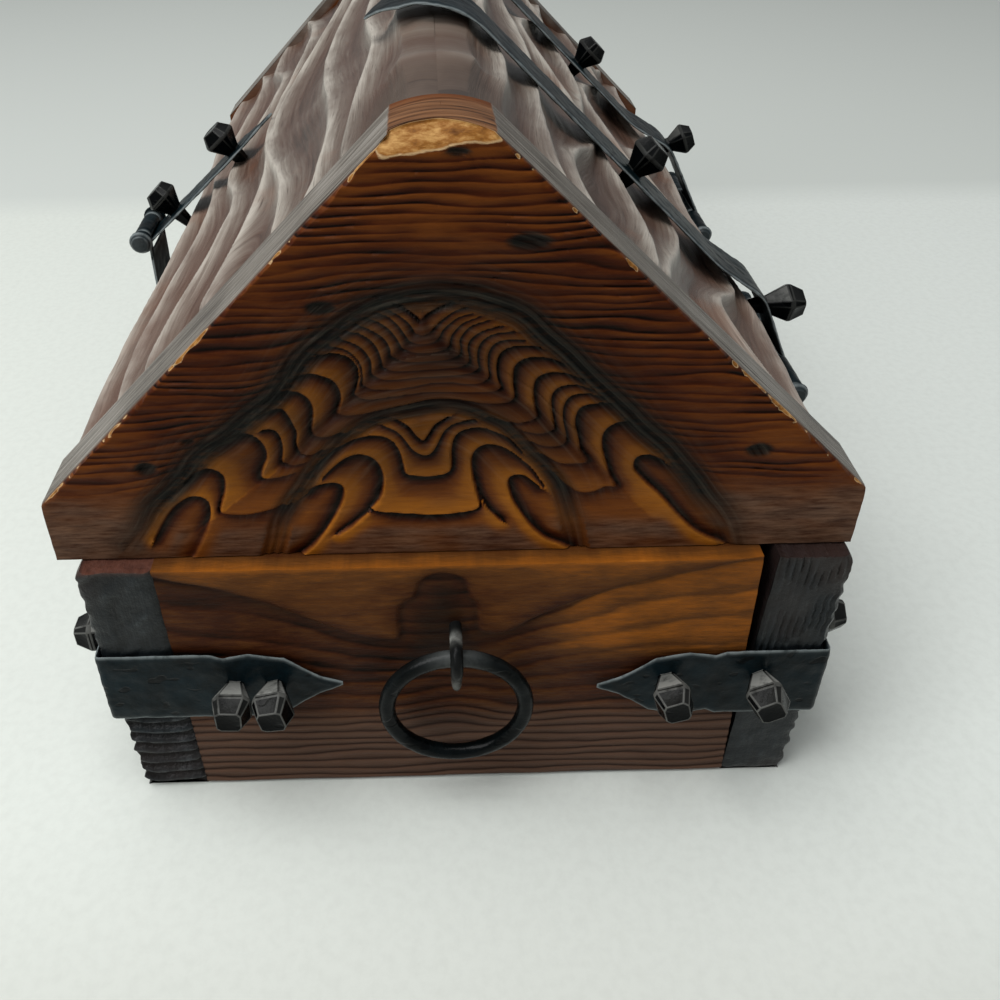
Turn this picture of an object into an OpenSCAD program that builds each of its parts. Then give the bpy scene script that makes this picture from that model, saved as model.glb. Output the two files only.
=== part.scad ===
// Rustic treasure chest: a plank box with a steep carved roof lid, held together by hand-forged
// straps and square-headed nails. Two T-hinges carry the lid, a hasp hangs from its front, and a
// ring hangs from a hook on each end. X runs along the chest, the hasp side faces -Y, and the
// origin is the middle of the underside.

/* [Base box] */
// Length of the base, over the ends of the long planks
base_l = 339; // [280:1:400]
// Width of the base across its top edges
base_w = 195; // [170:1:220]
// Height of the base
base_h = 84; // [78:1:110]
// Thickness of every plank and board
board_t = 19.5; // [16:0.5:21]
// How much each side of the base leans in at the bottom
base_lean = 2; // [0:0.5:4]
// Thickness of the bottom board
bottom_t = 6; // [4:0.5:10]
// How far the end boards stop above the table
end_lift = 1.2; // [0:0.2:3]
// Open wedge beside each end board at its top, on the hinge side
wedge_gap = 4; // [0:0.5:6]
// Depth of the carving on the end boards
relief_t = 1.5; // [0.5:0.1:3]
// Height of the lowest part of the raised field on an end board
relief_z = 58; // [50:1:64]
// Height of the raised field's lower edge at the board's sides
relief_side_z = 80; // [70:1:82]
// Half of the width over which the raised field hangs lowest
relief_flat = 17; // [10:1:30]
// Depth of the brushed ridges along the long planks
ridge_depth = 0.9; // [0:0.1:1.5]
// Number of brushed ridges down a long plank
ridge_count = 14; // [6:1:18]

/* [Lid] */
// How far the lid overhangs the base at each eave
lid_over = 2; // [0:0.5:6]
// How far the lid's ends stand back from the base's ends
lid_setback = 5; // [0:0.5:10]
// How far the lid sits forward of the base's middle
lid_shift = 2.5; // [0:0.5:4]
// Height of the lid's upright edge below the slope
fascia_h = 17; // [15:0.5:24]
// Height of the slope, from the upright edge to the flat of the ridge
roof_rise = 87; // [60:1:110]
// Width of the flat on the ridge
ridge_flat = 20.6; // [12:0.5:30]
// How far the ridge stands forward of the lid's middle
ridge_shift = 2.5; // [0:0.5:5]
// Height of the crown over the ridge flat
ridge_crown = 2; // [0:0.5:3]
// Deepest carving in the roof planks
carve_depth = 5; // [0:0.5:7]
// How far a fold falls away on each side of its crest
fold_width = 6; // [4:1:12]
// Depth of the dish behind each gable's top
dish_depth = 5; // [0:0.5:8]
// Length of that dish along the ridge
dish_l = 44; // [25:1:60]
// Gap between the closed lid and the base
lid_gap = 0.4; // [0.3:0.1:1]

/* [Hinges] */
// Distance between the two hinges' middles
hinge_span = 123; // [80:1:160]
// Width of a hinge strap
strap_w = 24; // [18:1:30]
// Thickness of the hinge and hasp straps
strap_t = 1.5; // [1:0.1:2]
// Outer radius of the rolled knuckles
knuckle_r = 3.5; // [3:0.1:4.5]
// Radius of the hinge and hasp pins
pin_r = 1.7; // [1.2:0.1:2.2]
// Running clearance round a pin
pin_play = 0.05; // [0.03:0.01:0.1]
// Length of a hinge's leaf on the base
leaf_l = 62; // [50:1:70]
// Height of a hinge's leaf on the base
leaf_h = 27; // [20:1:34]
// How far the hinge pins stand behind the base
hinge_out = 7.5; // [6.5:0.1:9]
// How far up the slope the right hinge strap bends down to its knuckle
right_bend_up = 3.2; // [2:0.1:12]
// How far the right hinge strap stands off the slope at that bend
right_bend_out = 4.1; // [3:0.1:6.5]
// How far up the slope the left hinge strap bends down to its knuckle
left_bend_up = 11; // [2:0.1:12]
// How far the left hinge strap stands off the slope at that bend
left_bend_out = 5.5; // [3:0.1:6.5]
// Radius of the bend in a hinge strap over the ridge
ridge_bend_r = 24.7; // [18:0.5:30]
// Height of a hinge strap's hump over the ridge flat
ridge_hump = 4.7; // [3.5:0.1:7]

/* [Hasp] */
// Width of the hasp strap
hasp_strap_w = 17; // [12:1:20]
// Length of the hasp strap from its tip to the pin
hasp_strap_l = 65; // [50:1:80]
// Width of the swinging hasp plate
hasp_w = 23; // [21:1:30]
// Length of the hasp plate below its pin
hasp_l = 44; // [43:1:50]
// How far the hasp pin stands in front of the base
hasp_out = 13.3; // [12:0.1:15]
// How far the hasp pin stands above the lid's edge
hasp_up = 1.7; // [0:0.1:4]
// Distance of the slot's middle below the hasp pin
slot_drop = 29; // [27:1:30]
// Width of the slot in the hasp plate
slot_w = 6.5; // [5:0.5:8]
// Height of the slot in the hasp plate
slot_h = 15.5; // [14:0.5:16]
// Radius of the staple's bar
staple_r = 1.4; // [1.2:0.1:1.7]
// Room between the staple's nose and the hanging hasp plate
staple_play = 0.4; // [0.3:0.1:1]

/* [Corner straps] */
// Height of a corner strap
corner_w = 24; // [18:1:30]
// Thickness of a corner strap
corner_t = 1.2; // [0.8:0.1:1.6]
// Length of the front corner straps' legs, from the corner to the point
front_corner_l = 63.5; // [55:0.5:70]
// Length of the back corner straps' legs, from the corner to the point
back_corner_l = 61; // [55:0.5:70]
// Height of the middle of the two front corner straps
front_corner_z = 43.5; // [35:0.5:50]
// Height of the middle of the two back corner straps
back_corner_z = 40; // [35:0.5:50]
// Distances from the corner to the nails on the front straps' end legs
front_end_nails = [35.5, 46.2]; // [15:0.1:50]
// Distances from the corner to the nails on the back straps' end legs
back_end_nails = [17.7, 43]; // [15:0.1:50]
// Height of the nails above the middle of the back straps
back_nail_up = 2.5; // [-4:0.5:4]
// Distances from the corner to the nails on the side legs
side_nails = [22, 44]; // [15:0.1:50]

/* [Nails] */
// Height of the heads of the nails in the base above the iron
base_nail_h = 13; // [8:0.1:15]
// Height of the heads of the nails in the lid above the iron
lid_nail_h = 10; // [8:0.1:15]
// Width across the flats of a nail's square head
nail_w = 10; // [7:0.1:11]
// Width of the neck under a nail's head
nail_neck = 4.8; // [4:0.1:6]
// Width of the flat on a nail's head
nail_top = 5; // [3:0.1:7]
// Radius of a nail's shank
shank_r = 1.5; // [1:0.1:1.8]
// Length of a nail's shank below the iron
shank_l = 13; // [10:0.5:15]
// Clearance round a shank in its hole
hole_play = 0.05; // [0.02:0.01:0.2]

/* [Rings] */
// Radius of a ring, to the middle of its wire
ring_r = 18.5; // [14:0.1:22]
// Radius of a ring's wire
ring_wire = 2.4; // [1.8:0.1:3]
// Height of the ring's upper wire above the table
ring_z = 58.3; // [50:0.1:64]
// Distance from the end board to the ring's wire
ring_out = 6.5; // [5.5:0.1:9]
// Thickness of the hook's bar
hook_t = 3.8; // [2.8:0.1:4.4]
// Room between the ring's wire and its hook
hook_play = 0.3; // [0.2:0.1:0.6]
// How far the rings hang forward of the middle
ring_shift = 2.9; // [0:0.1:6]

/* [Hidden] */
$fn = 48;

wood_brown = [0.45, 0.22, 0.09];
wood_char = [0.12, 0.11, 0.11];
wood_grey = [0.46, 0.42, 0.39];
wood_pale = [0.62, 0.46, 0.30];
iron = [0.09, 0.09, 0.10];

overlap = 0.5;
seat_gap = 0.3;
back = 1;
front = -1;

// Base box: the inner faces of the long planks at the bottom and the top
inner_top = base_w / 2 - board_t;
inner_bottom = inner_top - base_lean;
function inner_at(z) = inner_bottom + base_lean * z / base_h;
end_x = base_l / 2;

// The brushed outer face of a long plank is a smooth lean-in with ridges that deepen downwards
face_steps = ridge_count * 4;
lean_curve = 1.4;
edge_round = 1.5;
function ridge_wave(z) = ridge_depth * (0.35 + 0.65 * (1 - z / base_h))
    * (0.5 - 0.5 * cos(360 * ridge_count * z / base_h));
function outer_at(z) = inner_at(z) + board_t - lean_curve * pow(1 - z / base_h, 2) - ridge_wave(z)
    - edge_round * pow(max(0, (z - base_h + 3) / 3), 2);

// The long face's highest ridge at a height, where iron is laid against it
function face_at(z) = inner_at(z) + board_t - lean_curve * pow(1 - z / base_h, 2);
strap_seat = 0.1;
front_seat = face_at(front_corner_z + corner_w / 2) + strap_seat;
back_seat = face_at(back_corner_z + corner_w / 2) + strap_seat;

// Lid: its edges and slopes, front and back. In the lid's section, v is the distance from the ridge
lid_z = base_h + lid_gap;
eave_z = lid_z + fascia_h;
ridge_z = eave_z + roof_rise;
ridge_y = -lid_shift - ridge_shift;
lid_end_x = end_x - lid_setback;
roof_end_x = lid_end_x - board_t;
lid_w = base_w + 2 * lid_over;
flat_v = ridge_flat / 2;
function eave_v(side) = lid_w / 2 + side * ridge_shift;
function slope_len(side) = norm([eave_v(side) - flat_v, roof_rise]);
function slope_angle(side) = atan2(roof_rise, eave_v(side) - flat_v);
function slope_normal(side) = [sin(slope_angle(side)), cos(slope_angle(side))];
function slope_dist(side) = slope_normal(side) * [flat_v, ridge_z];

// Carving of the roof: the crests of the folds wander along the grain and meet. Each crest has its
// height up the slope, its rise in 100 mm of length, and the size, length and turn of its sway
front_folds = [[10, -0.3, 4.2, 220, 87], [26, -1.1, 5.3, 140, -12], [45, -1.9, 7.8, 130, -107],
    [70, -11.7, 8.7, 200, -88], [66, 6.9, 8.4, 230, -110], [95, -2.7, 6.7, 230, -88],
    [111, -1.4, 3, 120, -102]];
back_folds = [[12, -2.5, 4.4, 130, 36], [31, -5.3, 13.3, 110, 49], [53, 3, 11.9, 170, 119],
    [72, -0.7, 4, 130, -33], [85, 0.7, 10.6, 150, 147], [103, -1.9, 3.5, 200, -130],
    [117, 0.1, 1.6, 100, -14]];
function crest_at(f, x) = f[0] + f[1] * x / 100 + f[2] * sin(360 * x / f[3] + f[4]);
function crest_gap(x, s, side) = min([for (f = side < 0 ? front_folds : back_folds)
    abs(s - crest_at(f, x))]);
function fold(g) = g * g / (g * g + fold_width * fold_width / 2);

// Along the ridge the folds die away into one shared wave, with a dish behind each gable
ridge_fade = 9;
ridge_wave = 70;
dish_fall = 26;
function ridge_carve(x) = 0.25 * carve_depth * (1.2 + sin(360 * x / ridge_wave));
function dish(x, r) = dish_depth * pow(max(0, 1 - r / dish_fall), 2)
    * pow(max(0, sin(180 * (roof_end_x + 3 - abs(x)) / dish_l)), 0.8)
    * (abs(x) > roof_end_x + 3 - dish_l ? 1 : 0);
function carve(x, s, side) = let (r = slope_len(side) - s, e = min(1, r / ridge_fade))
    e * carve_depth * fold(crest_gap(x, s, side)) + (1 - e) * ridge_carve(x) + dish(x, r);
carve_rows = 38;
carve_steps = 44;

// Hinge: the pin's axis, in the back section of the chest
hinge_y = base_w / 2 + hinge_out;
hinge_z = base_h;
hinge_x = hinge_span / 2;
bore_r = pin_r + pin_play;
roll_mid = knuckle_r - strap_t / 2;
knuckle_play = 0.25;
cap_r = knuckle_r + 0.8;
cap_t = 3;
leaf_gap = 0.2;
leaf_y = base_w / 2 + leaf_gap + strap_t / 2;
leaf_top_z = base_h - 8;
leaf_nail_x = leaf_l / 2 - 8;
leaf_nail_z = leaf_top_z - leaf_h / 2;

// Path of a hinge strap's middle line: an arc over the ridge, down the slope just clear of it,
// off the roof near the eave, and down to the outer side of the rolled knuckle
strap_off = seat_gap + strap_t / 2;
hump_z = ridge_z + ridge_hump;
bend_z = hump_z - ridge_bend_r;
bend_y = ridge_y + (slope_dist(back) + strap_off - ridge_bend_r
    - slope_normal(back)[1] * bend_z) / slope_normal(back)[0];
tip_angle = -40;
bend_steps = 12;
lift_len = 19;
function bend_up(side) = side > 0 ? right_bend_up : left_bend_up;
function bend_out(side) = side > 0 ? right_bend_out : left_bend_out;
function roof_point(side, s, off) = [eave_v(side) - s * cos(slope_angle(side))
    + off * slope_normal(side)[0], eave_z + s * sin(slope_angle(side)) + off * slope_normal(side)[1]];
function eave_bend(side) = [ridge_y, 0] + roof_point(back, bend_up(side), bend_out(side));
function leg_angle(side) = let (e = eave_bend(side)) atan2(e[1] - hinge_z, hinge_y - e[0])
    - asin(roll_mid / norm([hinge_y, hinge_z] - e));
function leg_end(side) = [hinge_y, hinge_z]
    + roll_mid * [sin(leg_angle(side)), cos(leg_angle(side))];
function strap_path(side) = concat(
    [for (i = [0:bend_steps]) let (a = tip_angle + (slope_angle(back) - tip_angle) * i / bend_steps)
        [bend_y + ridge_bend_r * sin(a), bend_z + ridge_bend_r * cos(a)]],
    [[ridge_y, 0] + roof_point(back, bend_up(side) + lift_len, strap_off), eave_bend(side),
        leg_end(side)]);
function leg_nail(side) = side > 0 ? 8.6 : 2.6;
function leg_nail_tilt(side) = side > 0 ? 4 : 22;
slope_nail = 0.475;

// Hasp: the pin's axis, in the front section of the lid
hasp_y = -base_w / 2 - hasp_out;
hasp_z = eave_z + hasp_up;
hasp_v = ridge_y - hasp_y;
hasp_off = slope_normal(front) * [hasp_v, hasp_z] - slope_dist(front);
hasp_past = norm([hasp_v - eave_v(front), hasp_up] - hasp_off * slope_normal(front));
hasp_tilt = asin((hasp_off - knuckle_r - seat_gap) / hasp_strap_l);
hasp_knuckle = 8;
plate_y = hasp_y + roll_mid;
hasp_nails = [20, 52];
plate_notch = knuckle_r + 0.8;
staple_z = hasp_z - slot_drop;
staple_half = 4.5;
staple_y = plate_y + strap_t / 2 + staple_play + staple_r + staple_half;

// Nails: the head widens to its widest part and is bevelled to a small flat
flare_part = 0.56;
band_part = 0.08;
corner_cut = 0.16;
punch_part = 0.78;
punch_depth = 4;

// A section's outline of a strip of sheet that follows a path, mitred at its bends
function turn_left(d) = [-d[1], d[0]];
function unit(d) = d / norm(d);
function path_side(p, i) = let (a = unit(p[max(i, 1)] - p[max(i, 1) - 1]),
    b = unit(p[min(i, len(p) - 2) + 1] - p[min(i, len(p) - 2)]), m = unit(turn_left(a + b)))
    m / (m * turn_left(a));
function strip(p, t) = concat([for (i = [0:len(p) - 1]) p[i] + path_side(p, i) * t / 2],
    [for (i = [len(p) - 1:-1:0]) p[i] - path_side(p, i) * t / 2]);

// Draws a section, given as Y and Z, and runs it w along X about the middle
module along_x(w) {
    rotate([90, 0, 90]) translate([0, 0, -w / 2]) linear_extrude(w) children();
}

module bar_x(r, l) {
    rotate([0, 90, 0]) cylinder(r = r, h = l, center = true);
}

// The outline of a strap's leg, from x = 0 to its forged point at x = l
module spear(l, w) {
    h = w / 2;
    polygon([[0, -h], [l - 34, -h], [l - 31, -0.88 * h], [l - 24, -h], [l - 15, -0.84 * h],
        [l - 10.5, -0.53 * h], [l - 6, -0.27 * h], [l, 0], [l - 6, 0.27 * h],
        [l - 10.5, 0.53 * h], [l - 15, 0.84 * h], [l - 24, h], [l - 31, 0.88 * h],
        [l - 34, h], [0, h]]);
}

// A square with its corners cut
module cut_square(w) {
    h = w / 2;
    c = h - corner_cut * w;
    polygon([[h, -c], [h, c], [c, h], [-c, h], [-h, c], [-h, -c], [-c, -h], [c, -h]]);
}

// A forged nail on the plane z = 0, with its shank below
module nail(h, turn) {
    flare_h = flare_part * h;
    band_h = band_part * h;
    translate([0, 0, -shank_l]) cylinder(r = shank_r, h = shank_l + overlap);
    rotate([0, 0, turn]) {
        linear_extrude(flare_h, scale = nail_w / nail_neck) cut_square(nail_neck);
        translate([0, 0, flare_h]) linear_extrude(band_h) cut_square(nail_w);
        translate([0, 0, flare_h + band_h])
            linear_extrude(h - flare_h - band_h, scale = nail_top / nail_w) cut_square(nail_w);
    }
}

module nail_hole() {
    translate([0, 0, -shank_l - hole_play]) cylinder(r = shank_r + hole_play, h = shank_l + 6);
}

// A wide punched hole, in which a nail can stand askew
module punched_hole() {
    translate([0, 0, -punch_depth]) cylinder(r = punch_part * nail_neck, h = 2 * punch_depth);
}

// Places on the chest, each with +Z standing out of the iron there
module on_end(side, y, z, off) {
    translate([side * (end_x + off), y, z]) rotate([0, 90 * side, 0]) children();
}

module on_side(side, x, z, off) {
    translate([x, side * off, z]) rotate([-90 * side, 0, 0]) children();
}

module on_roof(side, s, x, off) {
    translate([x, ridge_y, 0]) mirror([0, side < 0 ? 1 : 0, 0]) translate([0, eave_v(side), eave_z])
        rotate([-slope_angle(side), 0, 0]) translate([0, -s, off]) children();
}

// Where each group of nails is driven
module at_leg_nail(side, off) {
    a = leg_angle(side);
    translate([side * hinge_x, eave_bend(side)[0] + leg_nail(side) * cos(a),
        eave_bend(side)[1] - leg_nail(side) * sin(a)]) rotate([leg_nail_tilt(side) - 90, 0, 0])
            translate([0, 0, off - strap_t / 2]) children();
}

module at_slope_nail(side, off) {
    on_roof(back, slope_nail * slope_len(back), side * hinge_x, seat_gap + off) children();
}

module at_strap_nails(side, off) {
    at_slope_nail(side, off) children();
    at_leg_nail(side, off) children();
}

module at_leaf_nails(off) {
    for (x = [-hinge_x, hinge_x], dx = [-leaf_nail_x, leaf_nail_x])
        on_side(back, x + dx, leaf_nail_z, leaf_y - strap_t / 2 + off) children();
}

module at_hasp_nails(off) {
    on_roof(front, hasp_strap_l - hasp_past, 0, seat_gap) rotate([hasp_tilt, 0, 0])
        for (d = hasp_nails) translate([0, d, off]) children();
}

module at_corner_nails(y_side, x_side, off) {
    z = y_side < 0 ? front_corner_z : back_corner_z + back_nail_up;
    seat = y_side < 0 ? front_seat : back_seat;
    for (d = y_side < 0 ? front_end_nails : back_end_nails)
        on_end(x_side, y_side * (base_w / 2 - d), z, off) children();
    for (d = side_nails)
        on_side(y_side, x_side * (end_x - d), z, seat + off) children();
}

// Base box
module long_plank(side) {
    outline = concat([[inner_bottom, 0]],
        [for (i = [0:face_steps]) let (z = base_h * i / face_steps) [outer_at(z), z]],
        [[inner_top, base_h]]);
    difference() {
        mirror([0, side < 0 ? 1 : 0, 0]) along_x(base_l) polygon(outline);
        for (x_side = [-1, 1]) at_corner_nails(side, x_side, corner_t) nail_hole();
        if (side > 0) at_leaf_nails(strap_t) nail_hole();
        if (side < 0) staple_bars(staple_r + hole_play);
    }
}

// The raised field of an end board: two drooping tongues with a notch between them for the hook
notch_w = 13;
notch_rise = 13;
relief_steps = 8;
function relief_edge(v) = relief_z + (relief_side_z - relief_z)
    * pow(max(0, (v - relief_flat) / (inner_top - relief_flat)), 0.85);

module raised_field() {
    half = [for (i = [0:relief_steps])
        let (v = relief_flat + (inner_top + ring_shift - relief_flat) * i / relief_steps)
            [v, relief_edge(v)]];
    notch = [[notch_w / 2, relief_z + notch_rise], [notch_w / 2, relief_z + 2]];
    right = concat(notch, half, [[inner_top + ring_shift, base_h]]);
    translate([-ring_shift, 0]) polygon(concat([for (i = [len(right) - 1:-1:0])
        [-right[i][0], right[i][1]]], right));
}

module end_board(side) {
    outline = [[-inner_top, base_h], [-inner_at(end_lift), end_lift], [inner_at(end_lift), end_lift],
        [inner_top - wedge_gap, base_h]];
    difference() {
        union() {
            translate([side * (end_x - (board_t + relief_t) / 2), 0, 0])
                along_x(board_t - relief_t) polygon(outline);
            translate([side * (end_x - board_t / 2), 0, 0]) along_x(board_t) intersection() {
                polygon(outline);
                raised_field();
            }
        }
        for (y_side = [front, back]) at_corner_nails(y_side, side, corner_t) nail_hole();
        hook_bar(side, hook_shank_r + hole_play);
    }
}

module bottom_board() {
    color(wood_pale) along_x(base_l - 2 * board_t)
        polygon([[-inner_bottom, 0], [inner_bottom, 0], [inner_at(bottom_t), bottom_t],
            [-inner_at(bottom_t), bottom_t]]);
}

module front_plank() {
    color(wood_char) long_plank(front);
}

module back_plank() {
    color(wood_char) long_plank(back);
}

module right_end_board() {
    color(wood_brown) end_board(1);
}

module left_end_board() {
    color(wood_brown) end_board(-1);
}

// Lid
module gable_board(side) {
    crown = [for (t = [-1:0.25:1]) [ridge_y + t * flat_v, ridge_z + ridge_crown * (1 - t * t)]];
    color(wood_brown) translate([side * (lid_end_x - board_t / 2), 0, 0]) along_x(board_t)
        polygon(concat([[ridge_y - eave_v(front), lid_z], [ridge_y - eave_v(front), eave_z]], crown,
            [[ridge_y + eave_v(back), eave_z], [ridge_y + eave_v(back), lid_z]]));
}

// One ring of a roof plank's points: along the carved outside, then back along the flat inside
function plank_ring(x, side) = let (n = slope_normal(side), len_s = slope_len(side),
    inner = slope_dist(side) - board_t,
    outside = concat(
        [[0, ridge_z + ridge_crown - ridge_carve(x) - dish(x, 0)]],
        [for (i = [0:carve_rows]) let (s = len_s * (1 - i / carve_rows))
            roof_point(side, s, -carve(x, s, side))],
        [[eave_v(side) - 0.15 * carve(x, 0, side), lid_z]]),
    inside = [[(inner - n[1] * lid_z) / n[0], lid_z], [0, inner / n[1]]])
    [for (p = concat(outside, inside)) [x, ridge_y + side * p[0], p[1]]];

module roof_plank(side) {
    k = carve_rows + 5;
    xs = [for (j = [0:carve_steps]) roof_end_x * (2 * j / carve_steps - 1)];
    points = [for (x = xs) each plank_ring(x, side)];
    sides = [for (j = [0:carve_steps - 1], i = [0:k - 1]) let (a = j * k + i, b = j * k + (i + 1) % k)
        each [[a, b, a + k], [b, b + k, a + k]]];
    ends = [[for (i = [k - 1:-1:0]) i], [for (i = [0:k - 1]) carve_steps * k + i]];
    faces = [for (f = concat(sides, ends)) side > 0 ? [for (i = [len(f) - 1:-1:0]) f[i]] : f];
    difference() {
        polyhedron(points, faces);
        if (side > 0) for (x_side = [-1, 1]) at_strap_nails(x_side, strap_t) nail_hole();
        if (side < 0) at_hasp_nails(strap_t) nail_hole();
    }
}

module right_gable_board() {
    gable_board(1);
}

module left_gable_board() {
    gable_board(-1);
}

module front_roof_plank() {
    color(wood_grey) roof_plank(front);
}

module back_roof_plank() {
    color(wood_grey) roof_plank(back);
}

// Hinges
module hinge_strap(side) {
    path = strap_path(side);
    tip_y = path[0][0];
    h = strap_w / 2;
    far = hinge_y + 2 * knuckle_r;
    color(iron) difference() {
        translate([side * hinge_x, 0, 0]) union() {
            intersection() {
                along_x(strap_w) polygon(strip(path, strap_t));
                linear_extrude(hump_z + strap_t) polygon([[-h, far], [-h, tip_y + 17],
                    [-0.86 * h, tip_y + 13], [-h, tip_y + 9], [-0.4 * h, tip_y + 3.5], [0, tip_y],
                    [0.4 * h, tip_y + 3.5], [h, tip_y + 9], [0.86 * h, tip_y + 13], [h, tip_y + 17],
                    [h, far]]);
            }
            translate([0, hinge_y, hinge_z]) bar_x(knuckle_r, strap_w);
        }
        translate([side * hinge_x, hinge_y, hinge_z]) bar_x(bore_r, strap_w + 2);
        at_strap_nails(side, strap_t) nail_hole();
        at_leg_nail(side, strap_t) punched_hole();
    }
}

module hinge_leaf(x) {
    rise = atan2(hinge_z - leaf_top_z, hinge_y - leaf_y)
        - asin(roll_mid / norm([hinge_y - leaf_y, hinge_z - leaf_top_z]));
    roll = [hinge_y, hinge_z] + roll_mid * [sin(rise), -cos(rise)];
    notch = strap_w + 2 * knuckle_play;
    color(iron) difference() {
        translate([x, 0, 0]) union() {
            along_x(leaf_l) polygon(strip([[leaf_y, leaf_top_z - leaf_h], [leaf_y, leaf_top_z], roll],
                strap_t));
            translate([0, hinge_y, hinge_z]) bar_x(knuckle_r, leaf_l);
        }
        translate([x, hinge_y, hinge_z]) bar_x(bore_r, leaf_l + 2);
        translate([x - notch / 2, hinge_y - 3 * knuckle_r, leaf_top_z])
            cube([notch, 5 * knuckle_r, 4 * knuckle_r]);
        at_leaf_nails(strap_t) nail_hole();
    }
}

// A pin with a turned cap on each end of its barrel
module capped_pin(l) {
    bar_x(pin_r, l + cap_t);
    for (side = [-1, 1]) translate([side * l / 2, 0, 0]) rotate([0, 90 * side, 0]) {
        cylinder(r = cap_r, h = cap_t / 2);
        translate([0, 0, cap_t / 2]) cylinder(r1 = cap_r - 0.5, r2 = cap_r - 1.4, h = cap_t / 2);
    }
}

module right_hinge_strap() {
    hinge_strap(1);
}

module left_hinge_strap() {
    hinge_strap(-1);
}

module right_hinge_leaf() {
    hinge_leaf(hinge_x);
}

module left_hinge_leaf() {
    hinge_leaf(-hinge_x);
}

module right_hinge_pin() {
    color(iron) translate([hinge_x, hinge_y, hinge_z]) capped_pin(leaf_l);
}

module left_hinge_pin() {
    color(iron) translate([-hinge_x, hinge_y, hinge_z]) capped_pin(leaf_l);
}

module hinge_strap_nails() {
    color(iron) for (side = [-1, 1]) {
        at_slope_nail(side, strap_t) nail(lid_nail_h, 20);
        at_leg_nail(side, strap_t) nail(side > 0 ? base_nail_h : lid_nail_h, 20);
    }
}

module hinge_leaf_nails() {
    color(iron) at_leaf_nails(strap_t) nail(base_nail_h, 8);
}

// Hasp
module hasp_strap() {
    color(iron) difference() {
        union() {
            on_roof(front, hasp_strap_l - hasp_past, 0, seat_gap) rotate([hasp_tilt, 0, 0])
                translate([0, hasp_strap_l, 0]) rotate([0, 0, -90])
                    linear_extrude(strap_t) spear(hasp_strap_l, hasp_strap_w);
            translate([0, hasp_y, hasp_z]) bar_x(knuckle_r, 2 * hasp_knuckle);
        }
        translate([0, hasp_y, hasp_z]) bar_x(bore_r, hasp_w + 2);
        at_hasp_nails(strap_t) nail_hole();
        for (side = [-1, 1]) translate([side * (hasp_knuckle + hasp_w / 2), hasp_y, hasp_z])
            cube([hasp_w, 4 * knuckle_r, 4 * knuckle_r], center = true);
    }
}

module hasp_strap_nails() {
    color(iron) at_hasp_nails(strap_t) nail(lid_nail_h, 12);
}

module hasp_pin() {
    color(iron) translate([0, hasp_y, hasp_z]) capped_pin(hasp_w);
}

module hasp_plate() {
    slot_top = slot_h / 2 - slot_w / 2;
    notch = 2 * (hasp_knuckle + knuckle_play);
    color(iron) difference() {
        translate([0, hasp_y, hasp_z]) union() {
            bar_x(knuckle_r, hasp_w);
            translate([0, roll_mid + strap_t / 2, 0]) rotate([90, 0, 0])
                linear_extrude(strap_t) difference() {
                polygon([[-hasp_w / 2, 0], [-hasp_w / 2, 10 - hasp_l], [-0.7 * hasp_w / 2, 5 - hasp_l],
                    [0, -hasp_l], [0.7 * hasp_w / 2, 5 - hasp_l], [hasp_w / 2, 10 - hasp_l],
                    [hasp_w / 2, 0]]);
                translate([0, -slot_drop]) {
                    square([slot_w, 2 * slot_top], center = true);
                    translate([0, slot_top]) circle(r = slot_w / 2);
                    translate([0, -slot_top]) circle(r = slot_w / 2);
                }
            }
        }
        translate([0, hasp_y, hasp_z]) {
            bar_x(bore_r, hasp_w + 2);
            cube([notch, 4 * knuckle_r, 2 * plate_notch], center = true);
        }
    }
}

module staple_bars(r) {
    for (dz = [-staple_half, staple_half])
        translate([0, staple_y, staple_z + dz]) rotate([-90, 0, 0])
            cylinder(r = r, h = -staple_y - base_w / 2 + shank_l);
}

module hasp_staple() {
    color(iron) {
        staple_bars(staple_r);
        translate([0, staple_y, staple_z]) rotate([90, 0, -90])
            rotate([0, 0, -90]) rotate_extrude(angle = 180) translate([staple_half, 0]) circle(r = staple_r);
    }
}

// Corner straps: an end leg, a rounded bend and a side leg
module corner_strap(y_side, x_side) {
    z = y_side < 0 ? front_corner_z : back_corner_z;
    seat = y_side < 0 ? front_seat : back_seat;
    leg = y_side < 0 ? front_corner_l : back_corner_l;
    color(iron) difference() {
        translate([0, 0, z]) mirror([x_side < 0 ? 1 : 0, 0, 0]) mirror([0, y_side < 0 ? 1 : 0, 0])
            translate([end_x, seat, 0]) {
                rotate([90, 0, 90]) linear_extrude(corner_t)
                    mirror([1, 0, 0]) spear(leg, corner_w);
                translate([0, corner_t, 0]) rotate([90, 0, 0]) linear_extrude(corner_t)
                    mirror([1, 0, 0]) spear(leg, corner_w);
                translate([0, 0, -corner_w / 2]) rotate_extrude(angle = 90) square(
                    [corner_t, corner_w]);
            }
        at_corner_nails(y_side, x_side, corner_t) nail_hole();
    }
}

module corner_nails(y_side, x_side) {
    color(iron) at_corner_nails(y_side, x_side, corner_t)
        nail(base_nail_h, y_side < 0 ? 5 : 25);
}

module front_right_corner_strap() {
    corner_strap(front, 1);
}

module front_left_corner_strap() {
    corner_strap(front, -1);
}

module back_right_corner_strap() {
    corner_strap(back, 1);
}

module back_left_corner_strap() {
    corner_strap(back, -1);
}

module front_right_corner_nails() {
    corner_nails(front, 1);
}

module front_left_corner_nails() {
    corner_nails(front, -1);
}

module back_right_corner_nails() {
    corner_nails(back, 1);
}

module back_left_corner_nails() {
    corner_nails(back, -1);
}

// Rings and their hooks. A hook's section is drawn about the middle of the ring's upper wire
hook_in = ring_wire + hook_play;
hook_out = hook_in + hook_t;
hook_mid = (hook_in + hook_out) / 2;
hook_shank_r = 0.42 * hook_t;
hook_steps = 10;
hook_end = -17;
hook_point = 8;

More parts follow.
